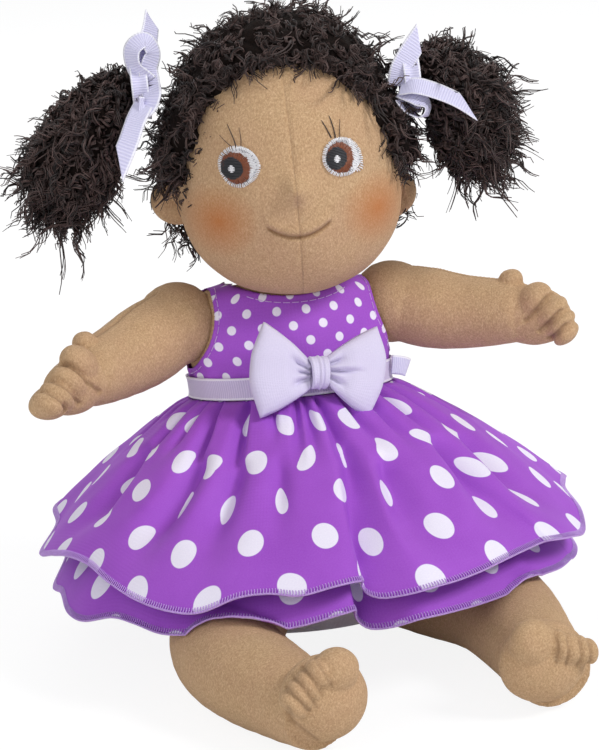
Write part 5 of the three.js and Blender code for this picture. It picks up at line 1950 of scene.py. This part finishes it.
# The bow's own axes: across, out and up from its knot. Each wing has its edge at the knot and its outer edge
# from the bottom up, and its creases: where they start and end up the wing, and how far out they reach.
BOW_PLACE = (
    Matrix.Translation(leaned(0, -(WAIST_DEEP + 2.6 + 0.3 + 5.6), WAIST + 8.8))
    @ Matrix.Rotation(radians(-20), 4, "X")
    @ Matrix.Rotation(radians(4), 4, "Y")
)
BOW_WINGS = {
    "right": {
        "knot": [(-3.4, -5.6), (-3.0, 4.3)],
        "outer": [(-22.8, -15.6), (-25.8, -2.0), (-24.6, 7.0), (-19.2, 19.0)],
        "creases": [(0.66, 0.8, 0.4), (0.34, 0.2, 0.36), (0.5, 0.52, 0.24)],
    },
    "left": {
        "knot": [(3.6, -4.6), (3.0, 5.0)],
        "outer": [(17.6, -17.4), (24.2, -5.0), (26.0, 4.0), (23.4, 16.0)],
        "creases": [(0.5, 0.47, 0.6), (0.72, 0.8, 0.3), (0.28, 0.16, 0.34)],
    },
}


def add_bow():
    """The bow: two flat cotton loops folded at their ends and pinched in a creased knot band."""
    for side, wing in BOW_WINGS.items():
        knot = [Vector((x, z, 0)) for x, z in wing["knot"]]
        outer = [Vector((x, z, 0)) for x, z in wing["outer"]]

        def place(u, v, knot=knot, outer=outer, creases=wing["creases"]):
            # u goes out over the front and back behind, v from the bottom edge to the top one.
            loop = 1 - abs(2 * u - 1)
            front = 1 if u < 0.5 else -1
            ease = v + 0.1 * sin(tau * v) * loop
            inner = knot[0].lerp(knot[1], ease)
            flat = inner.lerp(spline(outer, ease), loop)
            flat.y += 0.9 * sin(pi * loop) * (2 * v - 1)
            fold = sqrt(max(0.0, 1 - loop**7)) * sqrt(max(0.0, 1 - abs(2 * v - 1) ** 9))
            puff = (0.9 + 3.0 * smooth(0.0, 0.5, loop)) * fold
            dent = 0.0
            for start, end, reach in creases:
                at = start + (end - start) * min(1.4, loop / reach)
                deep = smooth(reach * 1.15, 0.1, loop)
                dent += 2.8 * bell(v - at, 0.04 + 0.06 * loop) * deep
                dent -= 0.9 * bell(v - at - 0.14, 0.07) * deep
            y = -front * max(0.15, puff - dent * min(1, fold * 1.5))
            return BOW_PLACE @ Vector((flat.x, y, flat.y))

        shape = sheet_grid(90, 66, place, lambda u, v: (u * 52, v * 36))
        cloth = walled(finished(f"bow_{side}_loop", shape, "white_poplin_cotton"), 0.5, 0.0, False)
        placed(cloth, "torso", "white_cotton", *(["bow"] if side == "left" else []))

    def band_point(u, v):
        turn = u * tau
        x = (v - 0.5) * 7.0
        pleat = 0.35 * cos(x * 2.5 + 0.4) + 0.22 * cos(x * 4.3)
        edge = 0.6 * (2 * v - 1) ** 4
        y = (4.9 + pleat - edge) * cos(turn)
        z = (6.0 + pleat * 0.5 - edge) * sin(turn)
        return BOW_PLACE @ Vector((x * (1 + 0.08 * sin(turn)), y, z))

    shape = sheet_grid(72, 36, band_point, lambda u, v: (v * 8, u * 36), wrap=True)
    band = walled(finished("bow_knot_band", shape, "white_poplin_cotton"), 0.6)
    placed(band, "torso", "white_cotton", "bow_knot")


# Stage ----------

# Each lamp: its place in m, its size in m and its power in W.
LAMPS = {
    "key": ((1.15, -1.15, 1.45), 0.6, 25.5),
    "fill": ((-1.2, -1.2, 0.8), 1.3, 9.5),
    "back": ((0.3, 1.4, 1.3), 1.0, 8.0),
}
# The camera turns to the doll's right, looks down and rolls by these degrees, from one metre.
CAMERA_TURN, CAMERA_RISE, CAMERA_ROLL = 17, 20, 2
# The frame, the lens and the place of the seat in the frame, in pixels.
FRAME_WIDE, FRAME_HIGH, LENS, SEAT_PIXEL = 599, 750, 2600, (309, 619)
SENSOR = 36


def seen_directly(tree):
    """1 where the camera or a gloss sees a background, and 0 where its light falls on the doll."""
    camera = add_node(tree, "LightPath", out="Is Camera Ray")
    glossy = camera.node.outputs["Is Glossy Ray"]
    return add_node(tree, "Math", {0: camera, 1: glossy}, operation="MAXIMUM")


def add_stage():
    """A white floor and soft light, most of it from above and the doll's left."""
    scene = bpy.context.scene
    tree, shader = new_material("white_studio_floor")
    feed(shader, {"Base Color": tint("#EEEEEE"), "Roughness": 0.9})
    glow = add_node(tree, "Emission", {"Color": tint("#FFFFFF"), "Strength": 1.1})
    share = add_node(tree, "Math", {0: seen_directly(tree), 1: 0.8}, operation="MULTIPLY")
    mix = add_node(tree, "MixShader", {0: share, 1: shader.outputs[0], 2: glow})
    feed(tree.nodes["Material Output"], {"Surface": mix})
    shape = bmesh.new()
    bmesh.ops.create_grid(shape, x_segments=1, y_segments=1, size=4000)
    finished("floor", shape, "white_studio_floor")
    world = bpy.data.worlds.new("studio")
    scene.world = world
    world.use_nodes = True
    tree = world.node_tree
    soft = tree.nodes["Background"]
    feed(soft, {"Color": (0.95, 0.96, 1.0, 1), "Strength": 0.4})
    white = add_node(tree, "Background", {"Color": tint("#FFFFFF"), "Strength": 1.0})
    mix = add_node(tree, "MixShader", {0: seen_directly(tree), 1: soft.outputs[0], 2: white})
    feed(tree.nodes["World Output"], {"Surface": mix})
    for name, (place, size, power) in LAMPS.items():
        light = bpy.data.lights.new(name, "AREA")
        light.size = size
        light.energy = power
        lamp = bpy.data.objects.new(name, light)
        scene.collection.objects.link(lamp)
        lamp.location = place
        lamp.rotation_euler = (Vector((0, 0, 0.1)) - Vector(place)).to_track_quat("-Z", "Y").to_euler()
    around, above, roll = (radians(angle) for angle in (CAMERA_TURN, CAMERA_RISE, CAMERA_ROLL))
    right = Vector((cos(around), -sin(around), 0))
    up = Vector((sin(around) * sin(above), cos(around) * sin(above), cos(above)))
    toward = right.cross(up)
    top = right * sin(roll) + up * cos(roll)
    side = top.cross(toward)
    lens = bpy.data.cameras.new("photo_camera")
    lens.sensor_fit = "VERTICAL"
    lens.sensor_height = SENSOR
    lens.lens = LENS / FRAME_HIGH * SENSOR
    # The lens is raised, so that the view keeps the doll's upright lines.
    lens.shift_x = (FRAME_WIDE / 2 - SEAT_PIXEL[0]) / FRAME_HIGH
    lens.shift_y = (SEAT_PIXEL[1] - FRAME_HIGH / 2) / FRAME_HIGH
    camera = bpy.data.objects.new("photo_camera", lens)
    scene.collection.objects.link(camera)
    turned = Matrix((side, top, toward)).transposed().to_4x4()
    camera.matrix_world = Matrix.Translation(toward) @ turned
    scene.camera = camera
    scene.view_settings.view_transform = "Standard"


# Add-on ----------


def colour_property(name, text, code):
    """A colour that a user can change, with its default as a hex value."""
    return bpy.props.FloatVectorProperty(
        name=name, description=text, subtype="COLOR", size=3, min=0, max=1, default=tint(code)[:3]
    )


class DollSkin(bpy.types.PropertyGroup):
    """The stuffed fleece skin."""

    colour: colour_property("Fleece", "Colour of the fleece", "#D6B48E")
    blush: colour_property("Blush", "Colour of the cheeks", "#BB6F36")
    grain: bpy.props.FloatProperty(
        name="Grain", description="Width of one tuft of the pile, in mm", default=0.6, min=0.1
    )


class DollHair(bpy.types.PropertyGroup):
    """The curled pile."""

    dark: colour_property("Dark strands", "Darkest strands", "#181212")
    light: colour_property("Light strands", "Lightest strands", "#5A4642")


class DollDress(bpy.types.PropertyGroup):
    """The dotted dress."""

    colour: colour_property("Cotton", "Ground colour of the print", "#A252CA")
    dot: bpy.props.FloatProperty(
        name="Dot", description="Width of a large dot", subtype="DISTANCE", unit="LENGTH", default=0.0106,
        min=0.001,
    )


def both(work, *rest):
    """The same work for the left and the right."""
    return lambda: [work(side, *rest) for side in SIDES]


# Each operator's name and what it does.
STEPS = {
    "materials": ("Makes every material", add_materials),
    "stage": ("Adds the floor, lamps and camera", add_stage),
    "torso": ("Adds the stuffed torso", add_torso),
    "neck": ("Adds the neck", add_neck),
    "head": ("Adds the head with its face", add_head),
    "ears": ("Adds both ears", add_ears),
    "eyes": ("Adds the embroidered eyes", add_eyes),
    "arms": ("Adds both arms", both(add_limb, "arm")),
    "legs": ("Adds both legs", both(add_limb, "leg")),
    "hair": ("Adds the hair on the head", add_hair_cap),
    "ponytails": ("Adds both ponytails", both(add_ponytail)),
    "hair_ribbons": ("Adds both hair ribbons", add_hair_ribbons),
    "underpants": ("Adds the underpants", add_underpants),
    "bodice": ("Adds the bodice and its closing", add_bodice),
    "waist_ribbon": ("Adds the waist ribbon", add_waist_ribbon),
    "skirts": ("Adds both tiers of the skirt", add_skirts),
    "bow": ("Adds the bow", add_bow),
}


def make_operator(name, text, work):
    """An operator that runs one building function."""

    def execute(self, context):
        work()
        return {"FINISHED"}

    label = name.replace("_", " ").capitalize()
    fields = {"__doc__": text, "bl_idname": f"doll.{name}", "bl_label": label, "execute": execute}
    return type(f"DOLL_OT_{name}", (bpy.types.Operator,), fields)


OPERATORS = [make_operator(name, *step) for name, step in STEPS.items()]


class VIEW3D_PT_doll(bpy.types.Panel):
    """Lists the doll's pieces."""

    bl_label = "Doll"
    bl_space_type = "VIEW_3D"
    bl_region_type = "UI"
    bl_category = "Doll"

    def draw(self, context):
        for name in STEPS:
            self.layout.operator(f"doll.{name}")


GROUPS = {"doll_skin": DollSkin, "doll_hair": DollHair, "doll_dress": DollDress}


def register():
    for group in GROUPS.values():
        bpy.utils.register_class(group)
    for name, group in GROUPS.items():
        setattr(bpy.types.Scene, name, bpy.props.PointerProperty(type=group))
    for operator in OPERATORS:
        bpy.utils.register_class(operator)
    bpy.utils.register_class(VIEW3D_PT_doll)


def unregister():
    bpy.utils.unregister_class(VIEW3D_PT_doll)
    for operator in reversed(OPERATORS):
        bpy.utils.unregister_class(operator)
    for name, group in GROUPS.items():
        delattr(bpy.types.Scene, name)
        bpy.utils.unregister_class(group)


def main():
    """Builds the doll and writes the two boxes."""
    register()
    for name in STEPS:
        getattr(bpy.ops.doll, name)()


if __name__ == "__main__":
    main()
